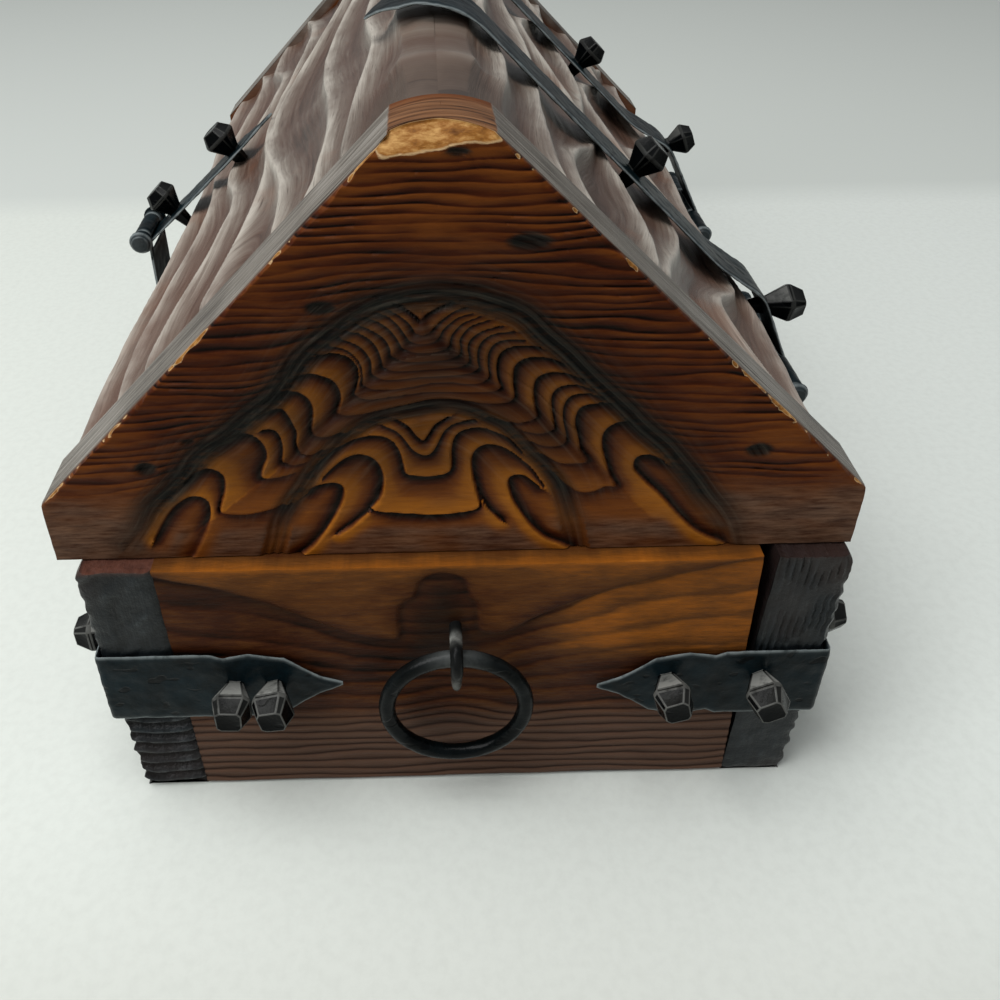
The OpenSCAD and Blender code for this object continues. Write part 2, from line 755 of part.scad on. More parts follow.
module hook_bar(side, r) {
    translate([side * (end_x - shank_l), -ring_shift, ring_z + hook_mid]) rotate([0, 90 * side, 0])
        cylinder(r = r, h = shank_l + overlap);
}

module hook_outline() {
    arc = [for (i = [0:hook_steps]) 90 + (hook_end - 90) * i / hook_steps];
    tip = hook_mid * [cos(hook_end), sin(hook_end)] + hook_point * [sin(hook_end), -cos(hook_end)];
    polygon(concat([[-ring_out, hook_out]], [for (a = arc) hook_out * [cos(a), sin(a)]], [tip],
        [for (i = [hook_steps:-1:0]) hook_in * [cos(arc[i]), sin(arc[i])]], [[-ring_out, hook_in]]));
}

module ring_hook(side) {
    color(iron) {
        hook_bar(side, hook_shank_r);
        translate([side * (end_x + ring_out), -ring_shift, ring_z]) mirror([side < 0 ? 1 : 0, 0, 0])
            rotate([90, 0, 0]) translate([0, 0, -hook_t / 2]) linear_extrude(hook_t) hook_outline();
    }
}

module ring(side) {
    color(iron) translate([side * (end_x + ring_out), -ring_shift, ring_z - ring_r]) rotate([0, 90, 0])
        rotate_extrude() translate([ring_r, 0]) circle(r = ring_wire);
}

module right_ring_hook() {
    ring_hook(1);
}

module left_ring_hook() {
    ring_hook(-1);
}

module right_ring() {
    ring(1);
}

module left_ring() {
    ring(-1);
}

front_plank();
back_plank();
right_end_board();
left_end_board();
bottom_board();
right_gable_board();
left_gable_board();
front_roof_plank();
back_roof_plank();
right_hinge_strap();
left_hinge_strap();
right_hinge_leaf();
left_hinge_leaf();
right_hinge_pin();
left_hinge_pin();
hinge_strap_nails();
hinge_leaf_nails();
hasp_strap();
hasp_strap_nails();
hasp_pin();
hasp_plate();
hasp_staple();
front_right_corner_strap();
front_left_corner_strap();
back_right_corner_strap();
back_left_corner_strap();
front_right_corner_nails();
front_left_corner_nails();
back_right_corner_nails();
back_left_corner_nails();
right_ring_hook();
left_ring_hook();
right_ring();
left_ring();
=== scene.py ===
import math

import bmesh
import bpy
import numpy as np
from mathutils import Matrix, Vector, noise


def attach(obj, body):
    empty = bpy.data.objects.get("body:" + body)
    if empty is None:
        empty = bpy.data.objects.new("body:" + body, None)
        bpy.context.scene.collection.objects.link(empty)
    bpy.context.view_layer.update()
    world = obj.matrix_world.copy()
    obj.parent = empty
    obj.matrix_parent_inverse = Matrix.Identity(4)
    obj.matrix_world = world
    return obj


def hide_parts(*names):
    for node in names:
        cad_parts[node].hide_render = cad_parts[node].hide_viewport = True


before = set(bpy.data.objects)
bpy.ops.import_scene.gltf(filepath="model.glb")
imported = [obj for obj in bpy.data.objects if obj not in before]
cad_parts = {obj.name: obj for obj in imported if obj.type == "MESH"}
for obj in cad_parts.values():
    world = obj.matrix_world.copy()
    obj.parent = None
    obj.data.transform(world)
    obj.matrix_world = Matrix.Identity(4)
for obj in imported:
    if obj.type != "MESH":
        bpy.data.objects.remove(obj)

noise.seed_set(3)  # the nails come out the same each run
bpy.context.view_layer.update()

# Sizes of the chest in millimetres, as the frame has them
chest = {
    "baseLength": 339, "baseWidth": 195, "baseHeight": 84, "board": 19.5, "baseLean": 2,
    "lidSetback": 5, "lidOver": 2, "lidGap": 0.4, "fascia": 17, "roofRise": 87, "ridgeFlat": 20.6,
    "ridgeShift": 2.5, "lidShift": 2.5, "ridgeCrown": 2, "seatGap": 0.3,
}
board, baseHeight = chest["board"], chest["baseHeight"]
innerTop = chest["baseWidth"] / 2 - board
innerBottom = innerTop - chest["baseLean"]
endX = chest["baseLength"] / 2
lidZ = baseHeight + chest["lidGap"]
eaveZ = lidZ + chest["fascia"]
ridgeZ = eaveZ + chest["roofRise"]
ridgeY = -chest["lidShift"] - chest["ridgeShift"]
lidEndX = endX - chest["lidSetback"]
roofEndX = lidEndX - board
flatV = chest["ridgeFlat"] / 2


def eaveV(side):
    return chest["baseWidth"] / 2 + chest["lidOver"] + side * chest["ridgeShift"]


def slopeLength(side):
    return math.hypot(eaveV(side) - flatV, chest["roofRise"])


def slopeAngle(side):
    return math.atan2(chest["roofRise"], eaveV(side) - flatV)


def slopeNormal(side):
    return np.array([math.sin(slopeAngle(side)), math.cos(slopeAngle(side))])


def slopeDistance(side):
    return float(slopeNormal(side) @ [flatV, ridgeZ])


def roofPoint(side, up, off):
    # a place over a slope, as distance from the ridge and height
    angle = slopeAngle(side)
    return (np.array([eaveV(side) - up * math.cos(angle), eaveZ + up * math.sin(angle)])
            + off * slopeNormal(side))


def innerAt(z):
    return innerBottom + chest["baseLean"] * z / baseHeight


# Small tools shared by the pieces

def tone(red, green, blue):
    # a colour as read off a picture, 0 to 255, made linear for a shader
    parts = [c / 255 for c in (red, green, blue)]
    return tuple(((c + 0.055) / 1.055) ** 2.4 if c > 0.04 else c / 12.92 for c in parts) + (1,)


def tones(**colours):
    return {name: tone(*colour) for name, colour in colours.items()}


def wobble(x, y, z=0.0, seed=0.0):
    # smooth noise, about -1 to 1, at every point
    x, y, z = np.broadcast_arrays(x, y, z)
    return np.array([noise.noise((a + seed, b, c - seed))
                     for a, b, c in zip(x.ravel(), y.ravel(), z.ravel())])


def lumps(x, y, z=0.0, seed=0.0):
    # the same noise from 0 to 1
    return 0.5 + 0.5 * wobble(x, y, z, seed)


def smoothLine(points, parts=3):
    # a rounded line through the points
    p = np.array([points[0]] + list(points) + [points[-1]], float)
    runs = []
    for a, b, c, d in zip(p[:-3], p[1:-2], p[2:-1], p[3:]):
        for k in np.arange(parts) / parts:
            runs.append(0.5 * (2 * b + (c - a) * k + (2 * a - 5 * b + 4 * c - d) * k * k
                               + (3 * b - a - 3 * c + d) * k ** 3))
    return np.array(runs + [p[-1]])


def lineDistance(u, v, line):
    # distance to a line, positive on its left-hand side
    best = np.full(u.shape, 1e9)
    hand = np.zeros(u.shape)
    for (au, av), (bu, bv) in zip(line[:-1], line[1:]):
        du, dv = bu - au, bv - av
        t = unit(((u - au) * du + (v - av) * dv) / (du * du + dv * dv + 1e-9))
        gap = (u - au - t * du) ** 2 + (v - av - t * dv) ** 2
        near = gap < best
        best = np.where(near, gap, best)
        hand = np.where(near, np.sign(du * (v - av) - dv * (u - au)), hand)
    return np.sqrt(best) * hand


def unit(value):
    return np.clip(value, 0, 1)


def ease(value, low, high):
    t = unit((value - low) / (high - low))
    return t * t * (3 - 2 * t)


def bell(value, middle, width):
    return np.exp(-((value - middle) / width) ** 2)


def vertsOf(made):
    return [g for g in made if isinstance(g, bmesh.types.BMVert)]


def slab(acrossSteps, alongSteps, backSteps):
    # a block with a fine front, stepped sides and one plain face at the back
    bm = bmesh.new()
    bmesh.ops.create_grid(bm, x_segments=acrossSteps, y_segments=alongSteps, size=0.5)
    rim = [e for e in bm.edges if e.is_boundary]
    for _ in range(backSteps):
        made = bmesh.ops.extrude_edge_only(bm, edges=rim)["geom"]
        bmesh.ops.translate(bm, vec=(0, 0, -1 / backSteps), verts=vertsOf(made))
        rim = [g for g in made if isinstance(g, bmesh.types.BMEdge) and g.is_boundary]
    for face in bmesh.ops.contextual_create(bm, geom=rim)["faces"]:
        face.material_index = 1
    return bm


def weatherBack(bm, cuts):
    # the plain back keeps a margin of the outer finish beyond each cutting plane (place, direction)
    for spot, out in cuts:
        back = [f for f in bm.faces if f.material_index == 1]
        edges = {e for f in back for e in f.edges}
        verts = {v for f in back for v in f.verts}
        bmesh.ops.bisect_plane(bm, geom=back + list(edges) + list(verts), plane_co=spot, plane_no=out,
                               dist=1e-4)
        for face in bm.faces:
            if face.material_index == 1 and (face.calc_center_median() - Vector(spot)).dot(Vector(out)) > 0:
                face.material_index = 0


def longer(fields, bm, **values):
    # the fields with values for the vertices that were added last
    return {key: np.append(field, np.full(len(bm.verts) - len(field), values.get(key, 0.0)))
            for key, field in fields.items()}


def sheet(acrossSteps, alongSteps):
    # a thin closed plate, fine on both faces
    bm = bmesh.new()
    bmesh.ops.create_grid(bm, x_segments=acrossSteps, y_segments=alongSteps, size=0.5)
    made = bmesh.ops.extrude_face_region(bm, geom=bm.faces[:], use_keep_orig=True)["geom"]
    bmesh.ops.translate(bm, vec=(0, 0, -1), verts=vertsOf(made))
    return bm


def slabPlaces(bm):
    # each vertex's part of the way across, along and back, 0 to 1
    places = np.array([v.co[:] for v in bm.verts])
    return tuple(np.round(part, 5) for part in (places[:, 0] + 0.5, places[:, 1] + 0.5, -places[:, 2]))


def place(bm, x, y, z):
    for vert, spot in zip(bm.verts, np.stack(np.broadcast_arrays(x, y, z), -1)):
        vert.co = spot


def markWear(bm, values):
    layer = bm.verts.layers.float.get("wear") or bm.verts.layers.float.new("wear")
    for vert, value in zip(bm.verts, np.broadcast_to(values, len(bm.verts))):
        vert[layer] = value


def join(group, part, stand=None):
    # puts one shape into a group of shapes, at its own stand
    if stand is not None:
        bmesh.ops.transform(part, matrix=stand, verts=part.verts)
    bmesh.ops.recalc_face_normals(part, faces=part.faces)
    spare = bpy.data.meshes.new("spare")
    part.to_mesh(spare)
    part.free()
    group.from_mesh(spare)
    bpy.data.meshes.remove(spare)


def addPiece(bm, name, material, body, nodes, fields=None, sharp=35, inside=None):
    bmesh.ops.scale(bm, vec=(0.001, 0.001, 0.001), verts=bm.verts)
    bmesh.ops.recalc_face_normals(bm, faces=bm.faces)
    mesh = bpy.data.meshes.new(name)
    bm.to_mesh(mesh)
    bm.free()
    for key, values in (fields or {}).items():
        mesh.attributes.new(key, "FLOAT", "POINT").data.foreach_set("value", values.astype(np.float32))
    mesh.polygons.foreach_set("use_smooth", [True] * len(mesh.polygons))
    mesh.set_sharp_from_angle(angle=math.radians(sharp))
    mesh.materials.append(material)
    if inside:
        mesh.materials.append(inside)
    piece = bpy.data.objects.new(name, mesh)
    bpy.context.scene.collection.objects.link(piece)
    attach(piece, body)
    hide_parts(*nodes)
    return piece


def alongPath(line, part):
    # place and left-hand normal at a part of the way along a flat path
    line = np.array(line, float)
    far = np.concatenate([[0], np.cumsum(np.hypot(*(line[1:] - line[:-1]).T))])
    ahead = np.gradient(line, far, axis=0)
    want = part * far[-1]
    p, q, dp, dq = (np.interp(want, far, column)
                    for column in (line[:, 0], line[:, 1], ahead[:, 0], ahead[:, 1]))
    size = np.hypot(dp, dq)
    return p, q, -dq / size, dp / size, want, far[-1]


def roundBends(points, reach):
    # a path with its corners drawn as short curves
    points = [np.array(p, float) for p in points]
    line = [points[0]]
    for before, corner, after in zip(points, points[1:], points[2:]):
        a, b = before - corner, after - corner
        start = corner + a / np.linalg.norm(a) * min(reach, 0.45 * np.linalg.norm(a))
        end = corner + b / np.linalg.norm(b) * min(reach, 0.45 * np.linalg.norm(b))
        line += [(1 - t) ** 2 * start + 2 * t * (1 - t) * corner + t * t * end for t in np.linspace(0, 1, 7)]
    return line + [points[-1]]


def forge(line, halfAt, thick, dent, seed, alongSteps, acrossSteps, edgeWave=0.35):
    # sheet iron beaten out along a path; gives the shape, its places on the path and its width
    bm = sheet(acrossSteps, alongSteps)
    u, v, w = slabPlaces(bm)
    u, v = v, u
    p, q, outP, outQ, want, total = alongPath(line, u)
    half = halfAt(want, total)
    middle = half.max()
    half = half + edgeWave * wobble(want / 7, np.sign(v - 0.5), 0, seed)
    across = (v - 0.5) * 2 * np.clip(half, 0.35, middle)
    rim = np.minimum(np.minimum(v, 1 - v) * 2 * half, np.minimum(want, total - want))
    hit = (dent * lumps(want / 4.5, across / 4.5, 0, seed + 2)
           + 0.4 * dent * wobble(want / 1.7, across / 1.7, 0, seed))
    off = thick / 2 * (1 - 2 * w) - np.where(w < 0.5, 1, -1) * (hit + 0.3 * thick * np.exp(-rim / 0.6))
    # pale at the rims: worn edges, with a painted highlight along them
    markWear(bm, unit(0.9 * np.exp(-(rim / 0.5) ** 2)))
    return bm, p + outP * off, q + outQ * off, across


def tube(sides, steps):
    # a closed round bar of unit size, ringed along its length
    bm = bmesh.new()
    bmesh.ops.create_cone(bm, cap_ends=True, segments=sides, radius1=1, radius2=1, depth=1)
    long = [e for e in bm.edges if abs(e.verts[0].co.z - e.verts[1].co.z) > 0.5]
    bmesh.ops.subdivide_edges(bm, edges=long, cuts=steps - 1)
    return bm


def bendTube(bm, line, binormal, radiusAt, dent=0.0, seed=0.0, flat=1.0):
    # lays a unit bar along a flat line; flat makes it wider across the line's plane
    spots = np.array([v.co[:] for v in bm.verts])
    angle = np.arctan2(spots[:, 1], spots[:, 0])
    line = np.array(line, float)
    far = np.concatenate([[0], np.cumsum(np.linalg.norm(line[1:] - line[:-1], axis=1))])
    want = (spots[:, 2] + 0.5) * far[-1]
    ahead = np.gradient(line, far, axis=0)
    at = np.stack([np.interp(want, far, line[:, k]) for k in range(3)], -1)
    go = np.stack([np.interp(want, far, ahead[:, k]) for k in range(3)], -1)
    go /= np.linalg.norm(go, axis=1)[:, None]
    up = np.cross(binormal, go)
    radius = radiusAt(want, far[-1])
    radius = radius * (1 - dent * lumps(want / 2.2, np.cos(angle) * 1.3, np.sin(angle) * 1.3, seed))
    out = (at + np.array(binormal) * (np.cos(angle) * radius * flat)[:, None]
           + up * (np.sin(angle) * radius)[:, None])
    place(bm, out[:, 0], out[:, 1], out[:, 2])
    return want, far[-1]


# Finishes

def newFinish(name, finish, **sockets):
    material = bpy.data.materials.new(name)
    material.use_nodes = True
    material["finish"] = finish
    shader = material.node_tree.nodes["Principled BSDF"]
    for key, value in sockets.items():
        shader.inputs[key.replace("_", " ")].default_value = value
    return material, material.node_tree, shader


def addNode(tree, kind, inputs=None, **settings):
    made = tree.nodes.new("ShaderNode" + kind)
    for key, value in settings.items():
        setattr(made, key, value)
    for key, value in (inputs or {}).items():
        if isinstance(value, bpy.types.NodeSocket):
            tree.links.new(value, made.inputs[key])
        else:
            made.inputs[key].default_value = value
    return made


def objectPlaces(tree, stretch=(1, 1, 1), turn=(0, 0, 0)):
    where = addNode(tree, "TexCoord").outputs["Object"]
    return addNode(tree, "Mapping", {"Vector": where, "Scale": stretch, "Rotation": turn}).outputs[0]


def speckle(tree, places, scale, detail=4.0, rough=0.55, twist=0.0):
    return addNode(tree, "TexNoise", {"Vector": places, "Scale": scale, "Detail": detail,
                                      "Roughness": rough, "Distortion": twist}).outputs["Fac"]


def ramp(tree, value, *stops):
    made = addNode(tree, "ValToRGB", {"Fac": value})
    while len(made.color_ramp.elements) < len(stops):
        made.color_ramp.elements.new(0.5)
    for stop, (spot, colour) in zip(made.color_ramp.elements, stops):
        stop.position = spot
        stop.color = colour if not isinstance(colour, (int, float)) else (colour,) * 3 + (1,)
    return made.outputs["Color"]


def mix(tree, part, first, second, blend="MIX"):
    made = addNode(tree, "Mix", data_type="RGBA", blend_type=blend)
    for socket, value in ((made.inputs[0], part), (made.inputs[6], first), (made.inputs[7], second)):
        if isinstance(value, bpy.types.NodeSocket):
            tree.links.new(value, socket)
        else:
            socket.default_value = value
    return made.outputs[2]


def sums(tree, how, first, second=0.0, clamp=False):
    made = addNode(tree, "Math", operation=how, use_clamp=clamp)
    for socket, value in zip(made.inputs, (first, second)):
        if isinstance(value, bpy.types.NodeSocket):
            tree.links.new(value, socket)
        else:
            socket.default_value = value
    return made.outputs[0]


def times(tree, first, second, clamp=False):
    return sums(tree, "MULTIPLY", first, second, clamp)


def spread(tree, value, amount):
    # noise about 0, of a given strength
    return times(tree, sums(tree, "SUBTRACT", value, 0.5), amount)


def total(tree, *values):
    out = values[0]
    for value in values[1:]:
        out = sums(tree, "ADD", out, value)
    return out


def fieldValue(tree, name):
    return addNode(tree, "Attribute", attribute_name=name).outputs["Fac"]


def ringPart(tree):
    # how far a point has come from one growth line to the next, 0 to 1
    angle = sums(tree, "ARCTAN2", fieldValue(tree, "ringSine"), fieldValue(tree, "ringCosine"))
    return sums(tree, "FRACT", sums(tree, "ADD", sums(tree, "DIVIDE", angle, 2 * math.pi), 1.0))


def addBump(tree, shader, height, distance, strength=1.0):
    bump = addNode(tree, "Bump", {"Height": height, "Distance": distance, "Strength": strength})
    tree.links.new(bump.outputs[0], shader.inputs["Normal"])


def makeGableWood():
    look = tones(groove=(16, 6, 3), red=(66, 27, 8), brown=(110, 60, 20), honey=(164, 100, 28),
                 gold=(204, 138, 58), scorch=(26, 26, 23), silver=(118, 112, 104), dust=(46, 32, 25),
                 paleDust=(104, 84, 70), soot=(6, 6, 5), ash=(56, 53, 46), crack=(44, 38, 35),
                 bleached=(168, 164, 158), topLine=(40, 25, 15), topBrown=(104, 70, 45),
                 topPale=(146, 106, 72), bareDark=(82, 46, 16), bareMid=(140, 92, 40),
                 barePale=(200, 156, 96), arris=(206, 176, 132))
    material, tree, shader = newFinish("gableWood", "burnt_wood", Roughness=0.4, Specular_IOR_Level=0.07)
    fine = speckle(tree, objectPlaces(tree, (60, 14, 110)), 9, 7, 0.68)
    patches = speckle(tree, objectPlaces(tree, (1, 1, 2)), 24, 4, 0.55)
    rise = ringPart(tree)
    # each step is dark at its line and brightest just above the next: the dark grain line, with painted shade
    # under each step
    line = ramp(tree, rise, (0.0, 0.0), (0.09, 0.04), (0.28, 0.46), (0.62, 0.86), (0.9, 1.0), (1.0, 0.08))
    cut = times(tree, sums(tree, "SUBTRACT", 1.0, line), fieldValue(tree, "contrast"))
    light = times(tree, fieldValue(tree, "light"), sums(tree, "SUBTRACT", 1.0, cut))
    light = total(tree, light, spread(tree, fine, 0.3), spread(tree, patches, 0.26))
    wood = ramp(tree, light, (0.02, look["groove"]), (0.26, look["red"]), (0.5, look["brown"]),
                (0.84, look["honey"]), (1.0, look["gold"]))
    wood = mix(tree, fieldValue(tree, "pale"), wood,
               ramp(tree, fine, (0.34, look["dust"]), (0.62, look["paleDust"])))
    # the scorch mask darkens to char: real scorch, and painted shade under the steps and field edges
    burnt = times(tree, fieldValue(tree, "scorch"), sums(tree, "ADD", 0.98, spread(tree, fine, 0.5)), True)
    streaks = addNode(tree, "CombineXYZ", {"X": times(tree, fieldValue(tree, "band"), 0.85),
                                           "Y": times(tree, fieldValue(tree, "run"), 0.05)}).outputs[0]
    streak = speckle(tree, streaks, 1, 3, 0.6)
    charred = ramp(tree, streak, (0.38, look["soot"]), (0.52, look["scorch"]), (0.74, look["ash"]))
    wood = mix(tree, burnt, wood, charred)
    # the slanted edges are bare, weathered wood with fine lines down the slope
    lines = speckle(tree, objectPlaces(tree, (1500, 26, 26)), 1, 3, 0.7)
    grey = ramp(tree, total(tree, times(tree, lines, 0.8), spread(tree, patches, 0.35)),
                (0.24, look["crack"]), (0.42, look["silver"]), (0.62, look["bleached"]))
    wood = mix(tree, fieldValue(tree, "side"), wood, grey)
    # the worn top: bare gold on the bevel, ring lines on the flat
    across = speckle(tree, objectPlaces(tree, (620, 24, 90)), 1, 3, 0.6, 0.4)
    topWood = ramp(tree, total(tree, across, spread(tree, patches, 0.2)), (0.38, look["topLine"]),
                   (0.49, look["topBrown"]), (0.7, look["topPale"]))
    wood = mix(tree, fieldValue(tree, "top"), wood, topWood)
    grit = speckle(tree, objectPlaces(tree, (1, 0.45, 1)), 520, 4, 0.62)
    bare = ramp(tree, total(tree, fieldValue(tree, "rub"), spread(tree, grit, 0.5)), (0.42, 0.0), (0.56, 1.0))
    wood = mix(tree, bare, wood, ramp(tree, total(tree, grit, spread(tree, patches, 0.5)),
               (0.3, look["bareDark"]), (0.5, look["bareMid"]), (0.74, look["barePale"])))
    # a pale line where the bevel meets the face: wear, and a painted highlight on that edge
    arris = ramp(tree, total(tree, fieldValue(tree, "rub"), spread(tree, grit, 0.4)), (0.36, 0.0),
                 (0.47, 0.75), (0.6, 0.0))
    wood = mix(tree, arris, wood, look["arris"])
    tree.links.new(wood, shader.inputs["Base Color"])
    height = total(tree, times(tree, fine, 0.4), times(tree, lines, fieldValue(tree, "side")),
                   times(tree, streak, times(tree, burnt, 0.5)))
    addBump(tree, shader, height, 0.0006, 0.8)
    return material


def makeEndWood():
    look = tones(groove=(12, 6, 3), red=(64, 31, 14), brown=(98, 59, 25), orange=(152, 88, 26),
                 gold=(196, 118, 40), scorch=(30, 25, 20), pale=(104, 80, 66), fadedLine=(26, 18, 15),
                 fadedBrown=(74, 52, 42), soot=(16, 12, 9))
    material, tree, shader = newFinish("endWood", "burnt_wood", Roughness=0.42, Specular_IOR_Level=0.07)
    fine = speckle(tree, objectPlaces(tree, (60, 12, 100)), 9, 7, 0.68)
    patches = speckle(tree, objectPlaces(tree, (1, 1, 2)), 28, 4, 0.55)
    line = ramp(tree, ringPart(tree), (0.0, 0.0), (0.1, 0.1), (0.3, 0.6), (0.6, 0.95), (0.88, 1.0),
                (1.0, 0.2))
    cut = times(tree, sums(tree, "SUBTRACT", 1.0, line), fieldValue(tree, "contrast"))
    light = times(tree, fieldValue(tree, "light"), sums(tree, "SUBTRACT", 1.0, cut))
    fibres = speckle(tree, objectPlaces(tree, (1, 160, 700), (0.12, 0, 0)), 1, 4, 0.7)
    light = total(tree, light, spread(tree, fine, 0.34), spread(tree, patches, 0.4),
                  spread(tree, fibres, 0.36))
    wood = ramp(tree, light, (0.02, look["groove"]), (0.28, look["red"]), (0.52, look["brown"]),
                (0.8, look["orange"]), (1.0, look["gold"]))
    faded = mix(tree, line, look["fadedLine"], look["pale"])
    faded = mix(tree, times(tree, fine, 0.7), faded, look["fadedBrown"])
    wood = mix(tree, fieldValue(tree, "faded"), wood, faded)
    # the scorch field: real scorch, with painted shade along the raised field's edge
    burnt = times(tree, fieldValue(tree, "scorch"), sums(tree, "ADD", 0.82, spread(tree, fine, 0.7)), True)
    wood = mix(tree, burnt, wood, ramp(tree, fine, (0.35, look["soot"]), (0.65, look["scorch"])))
    tree.links.new(wood, shader.inputs["Base Color"])
    addBump(tree, shader, fine, 0.0006, 0.7)
    return material


def makeRoofWood():
    look = tones(crest=(180, 173, 162), slope=(118, 107, 97), mauve=(84, 64, 54), hollow=(13, 10, 8),
                 rust=(120, 78, 54), black=(10, 9, 9), dishDark=(48, 34, 27), dishPale=(84, 70, 60),
                 hairline=(48, 38, 33), eaveDark=(46, 28, 20), eavePale=(150, 106, 84))
    material, tree, shader = newFinish("roofWood", "carved_wood", Roughness=0.36, Specular_IOR_Level=0.4)
    # fine streaks run beside the folds
    flow = addNode(tree, "CombineXYZ", {"X": times(tree, fieldValue(tree, "run"), 0.022),
                                        "Y": times(tree, fieldValue(tree, "flow"), 0.55)}).outputs[0]
    streak = speckle(tree, flow, 1, 6, 0.66)
    thin = speckle(tree, flow, 4.5, 4, 0.6)
    patches = speckle(tree, objectPlaces(tree, (1, 1.5, 1.5)), 26, 4, 0.55)
    # the level field is painted light: the ramp runs from painted shade in the hollows to crests that are
    # worn and painted light
    light = total(tree, fieldValue(tree, "level"), spread(tree, streak, 0.75), spread(tree, thin, 0.3))
    wood = ramp(tree, light, (0.05, look["hollow"]), (0.38, look["mauve"]), (0.66, look["slope"]),
                (1.0, look["crest"]))
    wood = mix(tree, ramp(tree, patches, (0.48, 0.0), (0.66, 0.6)), wood, look["mauve"])
    wood = mix(tree, times(tree, ramp(tree, patches, (0.3, 0.8), (0.42, 0.0)), 0.5), wood, look["rust"])
    wood = mix(tree, fieldValue(tree, "smooth"), wood,
               ramp(tree, patches, (0.35, look["dishDark"]), (0.62, look["dishPale"])))
    wood = mix(tree, times(tree, ramp(tree, thin, (0.28, 1.0), (0.4, 0.0)), 0.7), wood, look["hairline"])
    low = addNode(tree, "MapRange",
                  {"Value": addNode(tree, "SeparateXYZ", {"Vector": objectPlaces(tree)}).outputs["Z"],
                   "From Min": 0.15, "From Max": 0.1, "To Max": 0.6}).outputs[0]
    wood = mix(tree, times(tree, low, patches), wood, mix(tree, streak, look["eaveDark"], look["eavePale"]))
    # the crack is painted black: painted shade in the gap
    wood = mix(tree, fieldValue(tree, "crack"), wood, look["black"])
    tree.links.new(wood, shader.inputs["Base Color"])
    addBump(tree, shader, total(tree, times(tree, streak, 0.7), times(tree, thin, 0.35)), 0.0009, 0.75)
    return material


def makeCharWood():
    look = tones(black=(4, 5, 6), char=(27, 32, 35), ash=(78, 85, 88), brown=(52, 38, 32),
                 rustDark=(52, 30, 26), rustPale=(120, 74, 58))
    material, tree, shader = newFinish("charWood", "charred_wood", Roughness=0.36, Specular_IOR_Level=0.25)
    streak = speckle(tree, objectPlaces(tree, (10, 120, 120)), 5, 6, 0.65)
    grain = speckle(tree, objectPlaces(tree, (500, 500, 60)), 1, 5, 0.6)
    patches = speckle(tree, objectPlaces(tree), 30, 3, 0.5)
    light = total(tree, times(tree, fieldValue(tree, "light"), 0.8), spread(tree, streak, 0.6),
                  spread(tree, grain, 0.5))
    # the light field is painted light: black in painted shade, pale ash where painted light catches the
    # ridges; the noise streaks are real
    wood = ramp(tree, light, (0.1, look["black"]), (0.5, look["char"]), (1.0, look["ash"]))
    wood = mix(tree, times(tree, ramp(tree, patches, (0.5, 0.0), (0.72, 1.0)), 0.45), wood, look["brown"])
    wood = mix(tree, fieldValue(tree, "rust"), wood, mix(tree, grain, look["rustDark"], look["rustPale"]))
    tree.links.new(wood, shader.inputs["Base Color"])
    addBump(tree, shader, total(tree, times(tree, streak, 0.5), times(tree, grain, 0.6)), 0.0008, 0.8)
    return material


def makeInsideWood():
    look = tones(dark=(58, 36, 22), brown=(96, 64, 40), pale=(128, 92, 60))
    material, tree, shader = newFinish("insideWood", "plain_wood", Roughness=0.6, Specular_IOR_Level=0.35)
    grain = speckle(tree, objectPlaces(tree, (6, 60, 60)), 4, 6, 0.6, 0.8)
    fine = speckle(tree, objectPlaces(tree, (60, 900, 900)), 1, 3, 0.6)
    light = total(tree, times(tree, grain, 0.8), times(tree, fine, 0.25))
    wood = ramp(tree, light, (0.3, look["dark"]), (0.5, look["brown"]), (0.72, look["pale"]))
    tree.links.new(wood, shader.inputs["Base Color"])
    addBump(tree, shader, light, 0.0004, 0.5)
    return material


def makeIron(name, finish, dark, bright, worn, roughness, dent, gloss, pit=(1, 2, 3)):
    material, tree, shader = newFinish(name, finish, Roughness=roughness, Specular_IOR_Level=gloss)
    places = objectPlaces(tree)
    hammer = addNode(tree, "TexVoronoi", {"Vector": places, "Scale": 210.0, "Smoothness": 0.9},
                     feature="SMOOTH_F1").outputs["Distance"]
    cloud = speckle(tree, places, 90, 5, 0.6)
    fine = speckle(tree, places, 1100, 3, 0.6)
    colour = ramp(tree, total(tree, times(tree, cloud, 0.8), times(tree, fine, 0.2)),
                  (0.36, tone(*dark)), (0.66, tone(*bright)))
    gouge = ramp(tree, speckle(tree, objectPlaces(tree, (1, 1, 1.8), (0.5, 0.4, 0.6)), 170, 1, 0.4),
                 (0.3, 1.0), (0.35, 0.0))
    colour = mix(tree, times(tree, gouge, 0.75), colour, tone(*pit))
    # the wear field paints the metal pale: worn edges and contact spots, and painted highlights on up-facing
    # nail facets and along strap rims
    rub = times(tree, fieldValue(tree, "wear"),
                ramp(tree, speckle(tree, places, 240, 4, 0.65), (0.3, 0.35), (0.5, 1.0)))
    colour = mix(tree, rub, colour, tone(*worn))
    tree.links.new(colour, shader.inputs["Base Color"])
    tree.links.new(addNode(tree, "MapRange", {"Value": cloud, "To Min": roughness - 0.1,
                                              "To Max": roughness + 0.16}).outputs[0],
                   shader.inputs["Roughness"])
    addBump(tree, shader, total(tree, times(tree, hammer, dent), times(tree, fine, 0.1),
                               times(tree, gouge, -0.12)), 0.001, 0.8)
    return material


